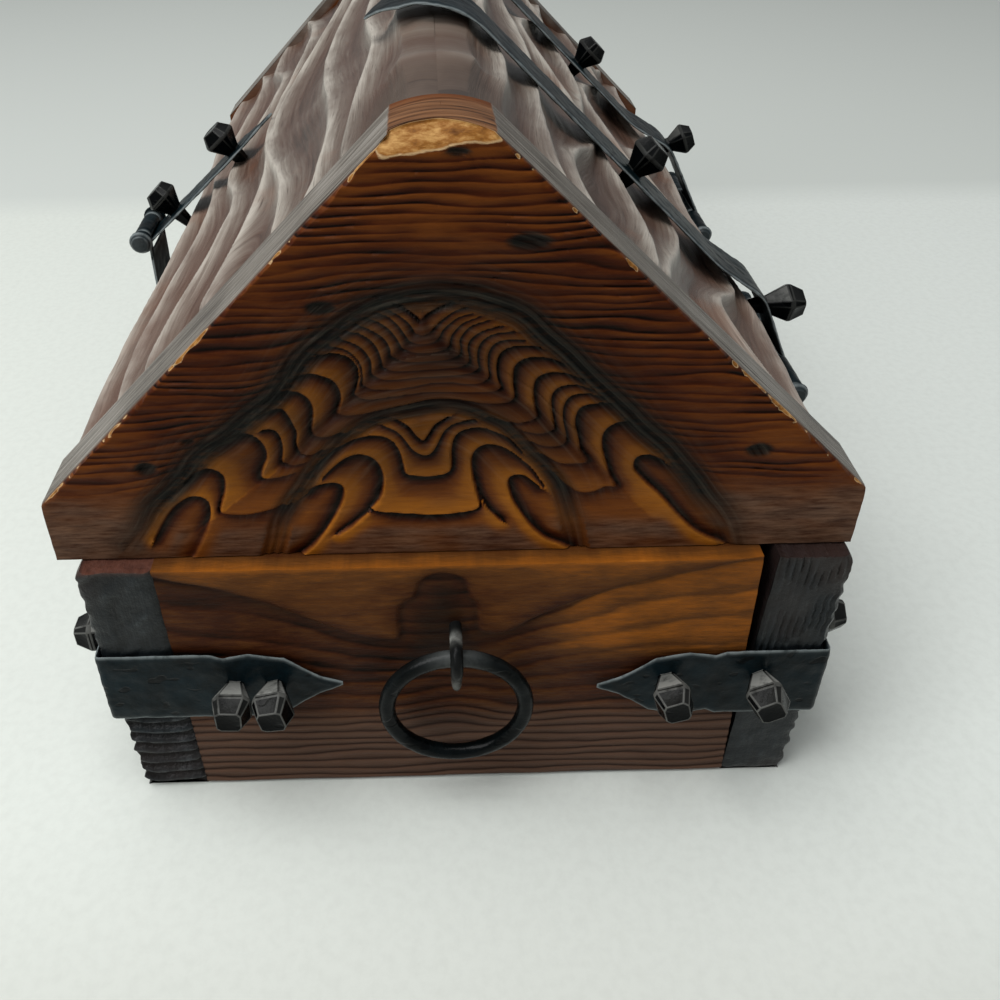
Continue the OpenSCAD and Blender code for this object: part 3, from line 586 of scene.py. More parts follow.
gableWood = makeGableWood()
endWood = makeEndWood()
roofWood = makeRoofWood()
charWood = makeCharWood()
insideWood = makeInsideWood()
strapIron = makeIron("strapIron", "strap_iron", (2, 8, 10), (14, 30, 36), (126, 134, 135), 0.33, 0.55, 0.11)
nailIron = makeIron("nailIron", "nail_iron", (2, 3, 3), (7, 9, 11), (150, 151, 146), 0.18, 0.25, 0.07)
ringIron = makeIron("ringIron", "strap_iron", (2, 4, 4), (8, 14, 16), (84, 87, 86), 0.22, 0.3, 0.1)
print("finishes made")


# Gable boards

gable = {"acrossSteps": 400, "upSteps": 208, "backSteps": 10, "ripple": 2.3, "rippleDepth": 0.75,
         "figureDepth": 1.5, "bandWidth": 3.8, "bandDepth": 1.3, "bevel": 4.6}
# Lines of the grain figure, in Y and Z on the face, with the raised side on the left hand
outerBand = [(-84, 88), (-80, 93), (-76, 100), (-71, 105), (-66.5, 110), (-62.5, 115), (-56, 120),
             (-50, 125), (-44, 130), (-40, 135), (-36.5, 140), (-31, 145), (-25, 149.5), (-18, 153),
             (-8, 155), (0, 154.5), (5, 153), (12, 150), (17, 145), (22.5, 140), (27, 135), (32, 130),
             (37, 125), (41.5, 120), (47, 115), (51, 110), (55, 105), (58.5, 100), (62.5, 95), (65.5, 90),
             (68, 83)]
innerBand = [(-49, 82), (-46.5, 90), (-45, 95), (-42.5, 100), (-39, 105), (-36, 110), (-32, 115),
             (-27, 120), (-20, 124), (-12, 126), (-6, 127), (0, 126), (5, 123.5), (9, 121), (14, 115),
             (18.5, 110), (22, 105), (24, 100), (25.5, 95), (26.8, 90), (28.5, 82)]
figureLines = [
    [(-15.9, 152.4), (-14.1, 151.7), (-12.6, 150.7), (-11.2, 149.5), (-10.1, 148.3), (-8.8, 149.5),
     (-7.3, 150.6), (-5.4, 151.7), (-3.3, 152.4)],
    [(-18.3, 151.8), (-16.4, 151), (-14.3, 149.8), (-12.9, 148.6), (-12.1, 147.2), (-11.3, 145.5),
     (-9.3, 145.2), (-7.4, 146.1), (-5.9, 148.2), (-4.4, 149.6), (-2.7, 150.8), (-0.3, 151.4)],
    [(-19.8, 150.7), (-17.3, 149.9), (-15.7, 148.7), (-14.4, 147), (-13.2, 144.8), (-12.4, 143.5),
     (-9.4, 143.2), (-6.3, 143.9), (-5.3, 146.3), (-3.5, 148.2), (-1.6, 149.6), (1.1, 150.2)],
    [(-21.6, 149.5), (-19.1, 148.5), (-17, 147), (-15.4, 144.8), (-14.6, 143.1), (-13.8, 141.6),
     (-9.4, 141), (-5.1, 141.4), (-3.8, 142.1), (-3.5, 144.6), (-2.2, 146.7), (-0.5, 148.3), (2.6, 149.5)],
    [(-24, 147.9), (-21.3, 146.9), (-19.2, 145.6), (-17.6, 143.9), (-16.8, 141.7), (-16.6, 139.7),
     (-12.5, 138.8), (-7.3, 139), (-2, 139.6), (-1.4, 141.8), (-1.6, 144), (-0.3, 146.2), (1.4, 147.6),
     (4.4, 148.5)],
    [(-26.2, 146.3), (-23.5, 146), (-21.8, 145), (-20.4, 143.5), (-19.4, 141.5), (-18.8, 139.2),
     (-18.5, 137), (-14.8, 136.6), (-9.5, 136.8), (-4.2, 137.1), (0.2, 137.5), (0.4, 140), (0.1, 142),
     (0.8, 144), (2.7, 145.6), (4.8, 146.5), (7.4, 147)],
    [(-27.8, 144.6), (-25.3, 143.8), (-23.6, 142.8), (-22.2, 141.3), (-21.2, 139.3), (-21.1, 137.3),
     (-21, 135.2), (-17.1, 134.4), (-12.2, 134.8), (-7.8, 135.2), (-2.7, 135.3), (2.4, 136), (2.3, 138.5),
     (2.3, 141), (3.2, 143.4), (4.9, 144.9), (7, 145.5), (10, 145.7)],
    [(-30.1, 142.7), (-27.1, 142.4), (-25.5, 141.4), (-24.1, 139.6), (-23.3, 137.6), (-23.2, 135),
     (-23.4, 132.7), (-19.8, 131.9), (-15.8, 132), (-12.3, 132.5), (-8.2, 133.4), (-3.8, 133.5),
     (0.6, 132.9), (4.9, 133.6), (4.6, 137.4), (4.7, 140.4), (5.8, 142.6), (7.5, 143.6), (9.6, 143.8),
     (12.2, 143.5)],
    [(-32.5, 140.5), (-29.8, 141), (-27.7, 140.9), (-25.6, 139.9), (-24.2, 137.6), (-23.9, 135.1),
     (-24.5, 132.5), (-25.3, 130.2), (-21.8, 129.3), (-17.2, 130), (-12.8, 130.6), (-8.3, 131.1),
     (-2.7, 130.9), (2.9, 130.8), (7.8, 130.9), (6.8, 134.1), (6.5, 137.4), (7.1, 139.9), (8.4, 141.3),
     (10.1, 142), (12.7, 142.2), (15.8, 141.4)],
    [(-36.8, 135.4), (-34.2, 135.8), (-32, 135.2), (-30.1, 134.2), (-28.7, 132.1), (-28.4, 129.7),
     (-29.1, 127.3), (-29.7, 125.2), (-26, 125.1), (-21.9, 125.6), (-17.4, 126.5), (-12.8, 127.5),
     (-8.3, 128.7), (-3.8, 128.8), (1.6, 127.9), (7, 127.5), (10.8, 128), (10.5, 131.7), (10.4, 134.2),
     (10.7, 136.8), (12.4, 138.5), (15, 139.2), (18.1, 138.6), (21.3, 137)],
    [(-42.6, 130.8), (-39.9, 131.3), (-37.3, 131), (-35.6, 129.1), (-35, 126.7), (-35.4, 123.7),
     (-35.9, 121), (-35.1, 119.3), (-31.9, 119.2), (-28.7, 120)],
    [(5.3, 123.3), (7.6, 122.4), (10.3, 121.8), (13.1, 122.2), (16.5, 123.2), (15.9, 125.7), (15.3, 128.9),
     (15.2, 131.5), (15.7, 133.6), (17.5, 134.8), (20.1, 135.3), (22.8, 134.5), (26.1, 132.6)],
    [(-44.4, 126.4), (-42.1, 126.9), (-40.9, 125.5), (-39.8, 122.8), (-39.1, 120.5), (-39.6, 117.8),
     (-39, 114.6), (-36, 114.3), (-33.6, 115.4)],
    [(13.6, 119.7), (16, 119.1), (18.3, 119.1), (20.6, 119.6), (20.2, 122.3), (19.5, 125.6), (19.3, 128.8),
     (20.4, 130.9), (22.5, 131.9), (25.2, 131.8), (28.5, 130.2)],
    [(-46.8, 121.3), (-45, 121.5), (-43.7, 120.7), (-42.8, 118.4), (-42.8, 115.6), (-43.4, 112.2),
     (-40.9, 111.5), (-38, 112.3)],
    [(15.2, 116.6), (17.5, 115.7), (20.3, 115.4), (23.3, 115.9), (23.2, 118.4), (22.2, 122.3), (22, 126.1),
     (23.2, 128.5), (25.4, 129.5), (28.1, 129.4), (31.4, 128)],
    [(-56.3, 118.8), (-54.3, 119.5), (-51, 120.3), (-48.4, 119.4), (-46.9, 116.8), (-46.7, 114),
     (-48, 111.2), (-48.6, 108), (-45.1, 107.9), (-41.2, 109.2)],
    [(17.7, 112.9), (20.1, 111.4), (22.5, 110.4), (25.8, 110.3), (29.1, 110.5), (27, 113.8), (26, 117.8),
     (25, 121.7), (25.3, 124.4), (26.3, 126), (28.3, 126.7), (31, 126.9), (34.2, 126.3), (37.6, 124.6)],
    [(20.8, 107.3), (23.9, 103.6), (27.4, 101.7), (30.8, 101.9), (33.5, 103.3), (36.2, 103.3),
     (34.7, 106.3), (33.4, 109.9), (32.1, 114.2), (31.8, 117.6), (32.6, 119.8), (34.5, 121.2),
     (37.5, 121.4), (41.1, 119.6), (44.2, 117.3)],
    [(-67, 106.5), (-64, 109.2), (-61, 110.6), (-58.6, 110), (-57.5, 107.8), (-58.1, 104), (-59.3, 100.8),
     (-59.6, 97.9), (-55, 97), (-50, 97.7), (-44, 99.5)],
    [(-35.5, 110.6), (-31, 115.2), (-26, 118), (-21, 119.2), (-17.6, 118), (-15.7, 114.8), (-15, 110.5),
     (-14.3, 108), (-10, 107.3), (-5.4, 107.7), (-3.4, 109.2), (-3.2, 112), (-3.3, 115), (-2.8, 118),
     (-1.2, 120.2), (1.8, 121), (5, 120.3), (9.5, 117.6), (13, 113.6)],
    [(-19, 121.8), (-16.4, 120.6), (-14.3, 118), (-12.6, 115), (-10.2, 113.4), (-8, 114), (-6.5, 117),
     (-5, 120.4), (-2.5, 122.4), (2, 122.8)],
    [(-16, 123.3), (-13.6, 121.6), (-11.8, 118.8), (-10, 117.4), (-8.7, 119), (-7, 122), (-4, 124)],
    [(-34, 107.5), (-30, 111.8), (-26, 114), (-22.5, 113.2), (-20.4, 110), (-20, 106), (-21.3, 101),
     (-23, 97.5), (-15, 96.2), (-7, 95.6), (0, 96.3), (3.6, 98), (2.8, 103), (1.9, 107), (1.4, 111),
     (1.9, 114), (3.8, 115.8), (6.6, 116), (9.8, 114.6), (14.5, 110), (18.5, 104)],
    [(-24, 97), (-28, 93.5), (-31.5, 91)],
    [(8.5, 94), (5.5, 97.2), (4, 100)],
    [(-37.5, 103.5), (-34.5, 105.8), (-31.2, 106), (-29.6, 104.3), (-30.4, 100.5), (-32.6, 95.5),
     (-35.3, 91), (-39, 86.6), (-42, 84)],
    [(26.5, 84.6), (24, 86), (20.5, 87.8), (17.4, 90.7), (14.4, 94.8), (12, 99), (10.7, 103), (10.3, 106),
     (11.6, 107.1), (14.2, 106.8), (17.5, 103.8)],
    [(66, 84.6), (63.5, 85.9), (60, 87.6), (56, 90.6), (51.5, 95.6), (47.5, 100.5), (43.4, 104.6),
     (40.4, 108), (39.9, 110.2), (40.6, 111.8), (43, 112.1), (46.5, 110.2)],
    [(-76.5, 90), (-72, 97.5), (-68, 101.5), (-64.6, 102.8), (-62, 101), (-62.2, 97), (-64.4, 92),
     (-68, 85)],
]
# The corners where the growth lines turn stand in two rows under the peak
cornerRows = [[(-10.1, 150), (-13.5, 141.8), (-16.7, 139.4), (-18.5, 137), (-21, 135), (-23.4, 132.5),
               (-25.3, 130.2), (-29.7, 125.4), (-36, 119.8), (-38.6, 115.4), (-42.6, 111.8)],
              [(-8.9, 150), (-5.9, 143.9), (-2, 139.6), (0.2, 137.5), (2.4, 135.7), (4.9, 133.3),
               (7.8, 130.9), (10.8, 127.7), (16.5, 123.4), (20, 120), (22.6, 117), (27.8, 112.4),
               (33.6, 106.4)]]
knots = [(-31, 152.3, 3.4, 1.7), (-75, 111.8, 2.6, 2), (68.7, 113.6, 3.2, 1.9), (12.5, 166.4, 4.6, 1.9),
         (-64, 119, 1.6, 0.8), (-2, 185, 2.4, 0.9)]


def shapeFigure(y, z):
    # depth below the face at each place, and the fields that its finish reads
    outer = lineDistance(y, z, smoothLine(outerBand))
    inner = lineDistance(y, z, smoothLine(innerBand))
    under = np.full(y.shape, 7.0)
    over = np.full(y.shape, 7.0)
    inside = outer < 4
    for points in figureLines:
        gap = lineDistance(y[inside], z[inside], smoothLine(points))
        under[inside] = np.where(gap < 0, np.minimum(under[inside], -gap), under[inside])
        over[inside] = np.where(gap >= 0, np.minimum(over[inside], gap), over[inside])
    room = under + over
    rise = under / room
    leftRow, rightRow = (lineDistance(y, z, smoothLine(row)) for row in cornerRows)
    # painted shade at the cusps where the growth lines turn, which also sink a little
    corner = np.exp(-(np.minimum(np.abs(leftRow), np.abs(rightRow)) / 1.3) ** 2)
    peak = ease(leftRow, -0.4, 1.4) * ease(-rightRow, -0.4, 1.4) * ease(inner, 0, 3)
    step = np.clip(0.34 * room, 0.5, gable["figureDepth"]) * (1 - 0.45 * peak)
    figureDrop = step * (1 - rise ** 0.75 * ease(over, -0.1, 0.8)) + 0.6 * corner
    corner = corner * (1 - 0.8 * ease(z, 142, 148))
    figureLight = 0.84 - 0.25 * peak - 0.12 * ease(z, 128, 146) - 0.34 * corner
    # plain ripples beyond the arch, bent up a little beside it
    sway = wobble(y / 34, z / 9, 0, 3.1) * 2.6 + wobble(y / 12, z / 3.5, 0, 8.2) * 0.8
    phase = (z + sway - 2.4 * np.exp(-np.maximum(outer, 0) / 6)) / gable["ripple"]
    ripple = phase - np.floor(phase)
    strong = (np.clip(0.42 + 0.3 * ease(z, 108, 132) + 0.75 * wobble(y / 20, z / 5, 0, 5.5)
                      + 0.3 * wobble(y / 6, z / 2, 0, 9.5), 0.08, 1) * ease(z, 100, 110))
    rippleDrop = gable["rippleDepth"] * (1 - ripple ** 0.8 * ease(1 - ripple, -0.1, 0.3)) * strong
    rippleLight = (0.39 + 0.09 * ease(z, 150, 182) + 0.1 * wobble(y / 16, z / 6, 0, 14.0)
                   + 0.06 * ease(np.abs(y + 5), 50, 80))
    part = ease(outer, -2.6, 1.6)
    drop = figureDrop * (1 - part) + rippleDrop * part
    light = figureLight * (1 - part) + rippleLight * part
    contrast = (0.97 - 0.42 * peak) * (1 - part) + strong * part
    cosine = np.cos(2 * np.pi * rise) * (1 - part) + np.cos(2 * np.pi * ripple) * part
    sine = np.sin(2 * np.pi * rise) * (1 - part) + np.sin(2 * np.pi * ripple) * part
    # the scorched bands sink in and run over everything
    band = np.maximum(np.exp(-(outer / gable["bandWidth"]) ** 4),
                      np.exp(-(inner / (gable["bandWidth"] * 0.7)) ** 4))
    near = np.where(np.abs(outer) < np.abs(inner), outer, inner)
    groove = 0.5 + 0.5 * np.cos(near * 2 * np.pi / 1.9 + wobble(y / 9, z / 9, 0, 1.7) * 2)
    drop = drop * (1 - 0.6 * band) + band * (gable["bandDepth"] * 0.55 + 0.4 * groove)
    scorch = np.maximum(np.exp(-(np.abs(outer + 0.6) / (gable["bandWidth"] * 1.3)) ** 2.8),
                        0.95 * np.exp(-(np.abs(inner) / (gable["bandWidth"] * 0.9)) ** 2.6))
    scorch = scorch * (0.5 + 0.5 * ease(z, 86, 104))
    wash = np.maximum(0.74 * np.exp(-(np.maximum(outer, 0) / 8.5) ** 1.5) * ease(z, 96, 118)
                      * (0.8 + 0.35 * wobble(y / 14, z / 8, 0, 31)),
                      0.55 * np.exp(-np.maximum(-outer, 0) / 5.5) * (outer < 2))
    crown = 0.6 * np.exp(-(((y + 6) / 17) ** 2 + ((z - 124) / 3.4) ** 2))
    # painted shade just under each wide step, added to the scorch
    stepShade = 0.5 * np.exp(-(rise / 0.26) ** 2) * ease(room, 2.6, 6) * (1 - part) * ease(z, 88, 94)
    scorch = np.maximum(np.maximum(scorch, wash), np.maximum(crown, stepShade))
    # plain ground below the figure
    ground = ((1 - ease(z, 91, 96)) * ease(np.minimum(rise, 1 - rise) * room, 1.5, 5) * (1 - part)
              * (np.abs(inner) > 3))
    low = (1 - ease(z, 98, 106)) * part
    ground = np.maximum(ground, low)
    light = (light * (1 - ground) + (0.46 + 0.14 * wobble(y / 16, z / 3, 0, 2.2)
                                     + 0.1 * wobble(y / 5, z / 1.2, 0, 12.2)) * ground)
    contrast = contrast * (1 - 0.9 * ground)
    drop = drop * (1 - ground) + 0.35 * ground
    for ky, kz, wide, high in knots:
        far = np.hypot((y - ky) / wide, (z - kz) / high)
        scorch = np.maximum(scorch, 0.97 * (1 - ease(far, 0.7, 1.35)))
        drop = drop + 0.5 * (1 - ease(far, 0.3, 1.1)) - 0.25 * bell(far, 1.25, 0.3)
    drop = drop + 0.13 * wobble(y / 5, z / 2, 0, 9.4)
    pale = 0.5 * ground + 0.25 * (1 - ease(z, 88, 112)) * part + 0.25 * wobble(y / 11, z / 4, 0, 51)
    pale = np.clip(pale, 0, 0.7) * (1 - ease(z, 96, 116))
    return np.clip(drop, 0, 3), {"light": light, "contrast": unit(contrast), "scorch": unit(scorch),
                                 "ringCosine": cosine, "ringSine": sine, "band": near, "run": y + z,
                                 "pale": pale}


def shapeGable():
    bm = slab(gable["acrossSteps"], gable["upSteps"], gable["backSteps"])
    u, v, w = slabPlaces(bm)
    bm.free()
    z = lidZ + v * (ridgeZ - lidZ)
    half = unit((ridgeZ - z) / chest["roofRise"])
    left = ridgeY - (flatV + (eaveV(-1) - flatV) * half)
    right = ridgeY + (flatV + (eaveV(1) - flatV) * half)
    y = left + (right - left) * u
    topFlat = unit(1 - ((y - ridgeY) / flatV) ** 2) * ease(z, ridgeZ - 16, ridgeZ)
    z = z + chest["ridgeCrown"] * topFlat
    drop, fields = shapeFigure(y, z)
    rim = w > 0
    # worn arrises: the face rolls over towards the slanted edges, chipped here and there
    edge = np.maximum(np.minimum(u, 1 - u) * (right - left) * 0.72, 0)
    chip = (1.0 + 1.1 * wobble(y / 3.2, z / 3.2, 0, 4.4)
            + 1.4 * ease(wobble(y / 1.9, z / 1.9, 0, 7.7), 0.25, 0.6))
    slant = ease(z, eaveZ - 4, eaveZ + 4)
    roll = unit(1 - edge / np.maximum(chip, 0.3)) * slant
    drop = drop * (1 - 0.4 * roll) + 1.0 * roll ** 2
    # the bevel worn across the top
    deep = (ridgeZ + chest["ridgeCrown"] - gable["bevel"] + 0.7 * wobble(y / 4, 0, 0, 2.6)
            + 1.3 * np.clip((y - ridgeY) / flatV, -1.3, 1.3))
    bevel = np.clip((z - deep) / gable["bevel"], 0, 1.2)
    drop = np.maximum(drop * (1 - ease(bevel, 0, 0.2)), 0) + 3.4 * bevel ** 1.2 + 0.2 * ease(bevel, 0, 0.1)
    inward = w * board
    x = lidEndX - np.where(rim, np.maximum(inward, drop * (v >= 1) + 0.0), drop)
    grain = (0.3 * wobble(y / 18, z / 18, x * 1.4, 2.0) * np.where(rim & (w < 1), 1, 0)
             * ease(z, eaveZ - 1, eaveZ + 2))
    y = y + np.where(u < 0.5, 1, -1) * (np.maximum(grain, 0) + 0.5 * roll * (1 - rim))
    z = z - np.maximum(grain, 0) * 0.7 - 0.5 * bevel * (1 - rim)
    bare = (flatV + 3.4 - np.abs(y - ridgeY)) > 0
    top = (v >= 1) & rim
    rub = np.where(rim, 0, unit(0.5 + (z - deep) / 3)) * ease(flatV + 4.5 - np.abs(y - ridgeY), 0, 4)
    bald = ease(wobble(y / 10, z / 10, 0, 6.3) + 0.5 * wobble(y / 2.2, z / 2.2, 0, 2.3), -0.05, 0.45)
    rub = np.maximum(rub, np.where(rim, 0, 0.85 * ease(roll, 0.3, 0.8) * bald))
    side = np.where(rim, 1.0, 0.0) * np.where(z < eaveZ - 0.5, 0.1, 1.0)
    fields["scorch"] = np.where(rim, 0.0, fields["scorch"] * (1 - ease(bevel, 0, 0.3)))
    fields["light"] = np.where(rim, 0.4, fields["light"] * (1 - 0.35 * bell(bevel, -0.06, 0.05)))
    fields["contrast"] = np.where(rim, 0.0, fields["contrast"])
    fields["pale"] = np.where(rim, 0.0, fields["pale"])
    fields["side"] = side * np.where(top & bare, 0.0, 1.0)
    fields["top"] = np.where(top & bare, 0.92 * (1 - ease(w, 0.75, 1.0)), 0.0)
    fields["rub"] = rub
    return x, y, z, fields


gableShape = shapeGable()
for name, node, side in (("rightGable", "right_gable_board", 1), ("leftGable", "left_gable_board", -1)):
    bm = slab(gable["acrossSteps"], gable["upSteps"], gable["backSteps"])
    place(bm, side * gableShape[0], gableShape[1], gableShape[2])
    cuts = ([((0, hand * eaveV(hand) + ridgeY - hand * 8 / slopeNormal(hand)[0], eaveZ),
              (0, hand * slopeNormal(hand)[0], slopeNormal(hand)[1])) for hand in (-1, 1)]
            + [((0, 0, ridgeZ - 5), (0, 0, 1))])
    weatherBack(bm, cuts)
    addPiece(bm, name, gableWood, "lid", [node], longer(gableShape[3], bm, side=1.0), 50, insideWood)
print("gable boards made")


# Roof planks

roof = {"alongSteps": 300, "downSteps": 270, "carve": 5.0, "foldWidth": 6.0, "ridgeFade": 9.0,
        "ridgeWave": 70.0, "dish": 5.0, "dishLength": 44.0, "dishFall": 26.0}
# Crests of the folds, as the frame has them: height up the slope, rise in 100 mm of length, and the
# size, length and turn of the sway
roofFolds = {
    -1: [[10, -0.3, 4.2, 220, 87], [26, -1.1, 5.3, 140, -12], [45, -1.9, 7.8, 130, -107],
         [70, -11.7, 8.7, 200, -88], [66, 6.9, 8.4, 230, -110], [95, -2.7, 6.7, 230, -88],
         [111, -1.4, 3, 120, -102]],
    1: [[12, -2.5, 4.4, 130, 36], [31, -5.3, 13.3, 110, 49], [53, 3, 11.9, 170, 119],
        [72, -0.7, 4, 130, -33], [85, 0.7, 10.6, 150, 147], [103, -1.9, 3.5, 200, -130],
        [117, 0.1, 1.6, 100, -14]],
}


def crestAt(fold, x):
    return fold[0] + fold[1] * x / 100 + fold[2] * np.sin(np.radians(360 * x / fold[3] + fold[4]))


def makeRoofPlank(name, node, side):
    bm = slab(roof["alongSteps"], roof["downSteps"], 2)
    u, v, w = slabPlaces(bm)
    length, angle = slopeLength(side), slopeAngle(side)
    ny, nz = slopeNormal(side)
    x = roofEndX * (2 * u - 1)
    run = (1 - v) * (flatV + length + chest["fascia"])
    s = np.clip(length - (run - flatV), 0, length)
    toRidge = unit(run / flatV)
    down = np.clip(run - flatV - length, 0, chest["fascia"])
    gaps = [s - crestAt(fold, x) for fold in roofFolds[side]]
    gap = np.min(np.abs(gaps), axis=0)
    pull = [np.exp(-(g / 13) ** 2) + 1e-6 for g in gaps]
    flow = s - sum(p * (crestAt(f, x) - f[0]) for p, f in zip(pull, roofFolds[side])) / sum(pull)
    # sharp crests between long hollows, with finer folds beside them
    fold = gap ** 1.5 / (gap ** 1.5 + (roof["foldWidth"] / math.sqrt(2)) ** 1.5)
    fine = (0.75 * np.abs(wobble(x / 38, flow / 5.5, 0, 12 + side))
            - 0.28 * wobble(x / 16, flow / 2.2, 0, 20 + side))
    fromRidge = length - s
    level = unit(fromRidge / roof["ridgeFade"])
    ridgeCarve = 0.25 * roof["carve"] * (1.2 + np.sin(2 * np.pi * x / roof["ridgeWave"]))
    ends = unit((roofEndX + 3 - np.abs(x)) / roof["dishLength"])
    dish = roof["dish"] * unit(1 - fromRidge / roof["dishFall"]) ** 2 * np.sin(np.pi * ends) ** 0.8
    calm = unit(dish / 2.5)
    carve = level * roof["carve"] * fold * (0.92 + 0.2 * wobble(x / 26, s / 16, 0, 6 + side))
    carve = carve + (1 - level) * ridgeCarve + dish + fine * (1 - calm) * 0.9
    crackDepth = 1 if side < 0 else 0.3
    # a crack beside the gable, cut deep and painted black as shade in the gap
    crack = bell(np.abs(x), roofEndX, 3.2) * ease(s, 30, 42) * (1 - ease(s, 74, 86)) * crackDepth * (x > 0)
    carve = np.maximum(carve, 0.05) + 5 * crack
    out = np.where(toRidge < 1, flatV * toRidge, eaveV(side) - s * math.cos(angle))
    up = np.where(toRidge < 1, ridgeZ + chest["ridgeCrown"] * (1 - toRidge ** 2), eaveZ + s * math.sin(angle))
    out = out - carve * ny * toRidge
    up = up - carve * (nz * toRidge + (1 - toRidge))
    # the upright edge below the slope, hewn in long hollows
    t = down / chest["fascia"]
    hewn = lumps(x / 30, up / 3.0, 0, 30 + side)
    foot = eaveV(side) - 0.15 * carve - 0.9 * hewn * ease(t, 0, 0.2)
    out = np.where(down > 0, out * (1 - ease(t, 0, 0.45)) + foot * ease(t, 0, 0.45), out)
    up = np.where(down > 0, up + (lidZ - up) * t, up)
    # the ends run back to the flat inside
    inner = ny * flatV + nz * ridgeZ - board
    out = out * (1 - w) + w * (1 - v) * (inner - nz * lidZ) / ny
    up = up * (1 - w) + w * (inner / nz + (lidZ - inner / nz) * (1 - v))
    place(bm, x, ridgeY + side * out, up)
    # painted light and shade: the hollows darken with depth as painted shade, and the crests get a painted
    # glint
    glint = 0.16 * np.exp(-gap / 1.3) * np.clip(0.6 + wobble(x / 14, flow / 3, 0, 41 + side), 0, 1.4)
    light = 0.98 - 0.92 * unit(carve / 5.6) ** 0.85 + glint
    light = np.where(down > 0, 0.42 + 0.2 * hewn, light)
    return addPiece(bm, name, roofWood, "lid", [node],
                    {"level": light, "crack": unit(crack * 1.4), "flow": flow + down, "run": x,
                     "smooth": 0.92 * calm * np.where(w > 0, 0, 1)}, 60, insideWood)


makeRoofPlank("frontRoof", "front_roof_plank", -1)
makeRoofPlank("backRoof", "back_roof_plank", 1)
print("roof planks made")


# Long planks of the base

plank = {"alongSteps": 230, "upSteps": 140, "backSteps": 20, "ridges": 14, "ridgeDepth": 0.9, "endPitch": 4.3}


def makeLongPlank(name, node, side):
    bm = slab(plank["alongSteps"], plank["upSteps"], plank["backSteps"])
    u, v, w = slabPlaces(bm)
    x = endX * (2 * u - 1)
    z = baseHeight * v
    high = z / baseHeight
    face = innerAt(z) + board - 1.4 * (1 - high) ** 2
    sway = wobble(x / 60, z / 18, 0, 7 + side) * 0.9 + wobble(x / 14, z / 4, 0, 5) * 0.2
    wave = 0.5 - 0.5 * np.cos(2 * np.pi * (plank["ridges"] * high + sway))
    ridge = plank["ridgeDepth"] * (0.35 + 0.65 * (1 - high)) * wave
    outer = face - ridge - 1.5 * unit((z - baseHeight + 3) / 3) ** 2
    outer = outer - 0.2 - 0.25 * wobble(x / 9, z / 2.2, 0, 13 + side)
    outer = outer - unit(0.3 + 0.5 * wobble(x / 5, z / 3, 0, 3)) * np.exp(-(endX - np.abs(x)) / 1.2)
    y = outer + (innerAt(z) - outer) * w
    atEnd = (u <= 0) | (u >= 1)
    across = w * board
    if side < 0:
        # hewn round ridges low on the end, hammered flats above
        bow = z + 1.5 * np.sin(w * 2.6 + 0.4) + 0.8 * wobble(across / 7, z / 9, 0, 2)
        cut = (0.5 - 0.5 * np.cos(2 * np.pi * bow / plank["endPitch"])) * 1.7 * (1 - ease(z, 28, 35))
        flats = (0.5 + 0.6 * wobble((across - z) / 4, (z + across) / 12, 0, 9)) * 1.1
        cut = cut + flats * ease(z, 24, 36)
    else:
        bow = across + 1.2 * wobble(across / 9, z / 22, 0, 2) + z * 0.05
        cut = 0.6 * (0.5 - 0.5 * np.cos(2 * np.pi * bow / 1.95)) * ease(z, 30, 44)
        cut = (cut + 0.5 * lumps(across / 3, z / 6, 0, 9) + 0.4 * lumps(across / 6, z / 3, 0, 4)
               * (1 - ease(z, 20, 34)))
    edge = np.minimum(across, board - across)
    cut = cut + 0.5 * np.exp(-edge / 0.7) + 1.6 * np.exp(-z / 1.3)
    x = np.where(atEnd, np.sign(x) * (endX - np.clip(cut, 0, np.where(w > 0, 2.6, 1.2))), x)
    z = np.where((v >= 1) & (w > 0) & (w < 1), z - 0.25 - 0.25 * wobble(x / 12, y / 2, 0, 1), z)
    place(bm, x, side * y, z)
    # painted shade in the grooves between the ridges, and on the ends darker where the hammer cut deeper
    light = 0.5 - 0.35 * wave * (0.5 + 0.5 * (1 - high))
    light = np.where(atEnd & (w > 0), 0.74 - 0.5 * np.clip(cut, 0, 1.6), light)
    weatherBack(bm, [((hand * (endX - board - 1), 0, 0), (hand, 0, 0)) for hand in (-1, 1)])
    rust = np.where((v >= 1) & (w > 0), 0.8, 0.3 * ease(z, baseHeight - 2, baseHeight))
    rust = rust * (1 if side < 0 else 0.15)
    return addPiece(bm, name, charWood, "base", [node],
                    longer({"light": light, "rust": rust}, bm, light=0.12), 45, insideWood)


makeLongPlank("frontPlank", "front_plank", -1)
makeLongPlank("backPlank", "back_plank", 1)
print("long planks made")


# End boards of the base

endBoard = {"acrossSteps": 330, "upSteps": 180, "backSteps": 3, "lift": 1.2, "wedge": 4,
            "ringPitch": 3.1, "sweepPitch": 5.0}
fieldEdge = [(-84, 84), (-74, 80), (-66, 78), (-60, 76), (-50, 71.5), (-42, 67), (-36, 63.5), (-30, 60),
             (-24, 58.5), (-18.5, 58), (-17, 60), (-17, 67), (-16, 71), (-13, 73), (-11.5, 78), (-8, 80.5),
             (-4, 80.5), (-0.5, 78), (0.5, 73), (2.5, 70), (3, 62), (4, 60), (8, 59.2), (12, 60.5),
             (20, 66), (30, 71), (40, 75), (48, 77.5), (60, 80), (74, 84), (84, 87)]


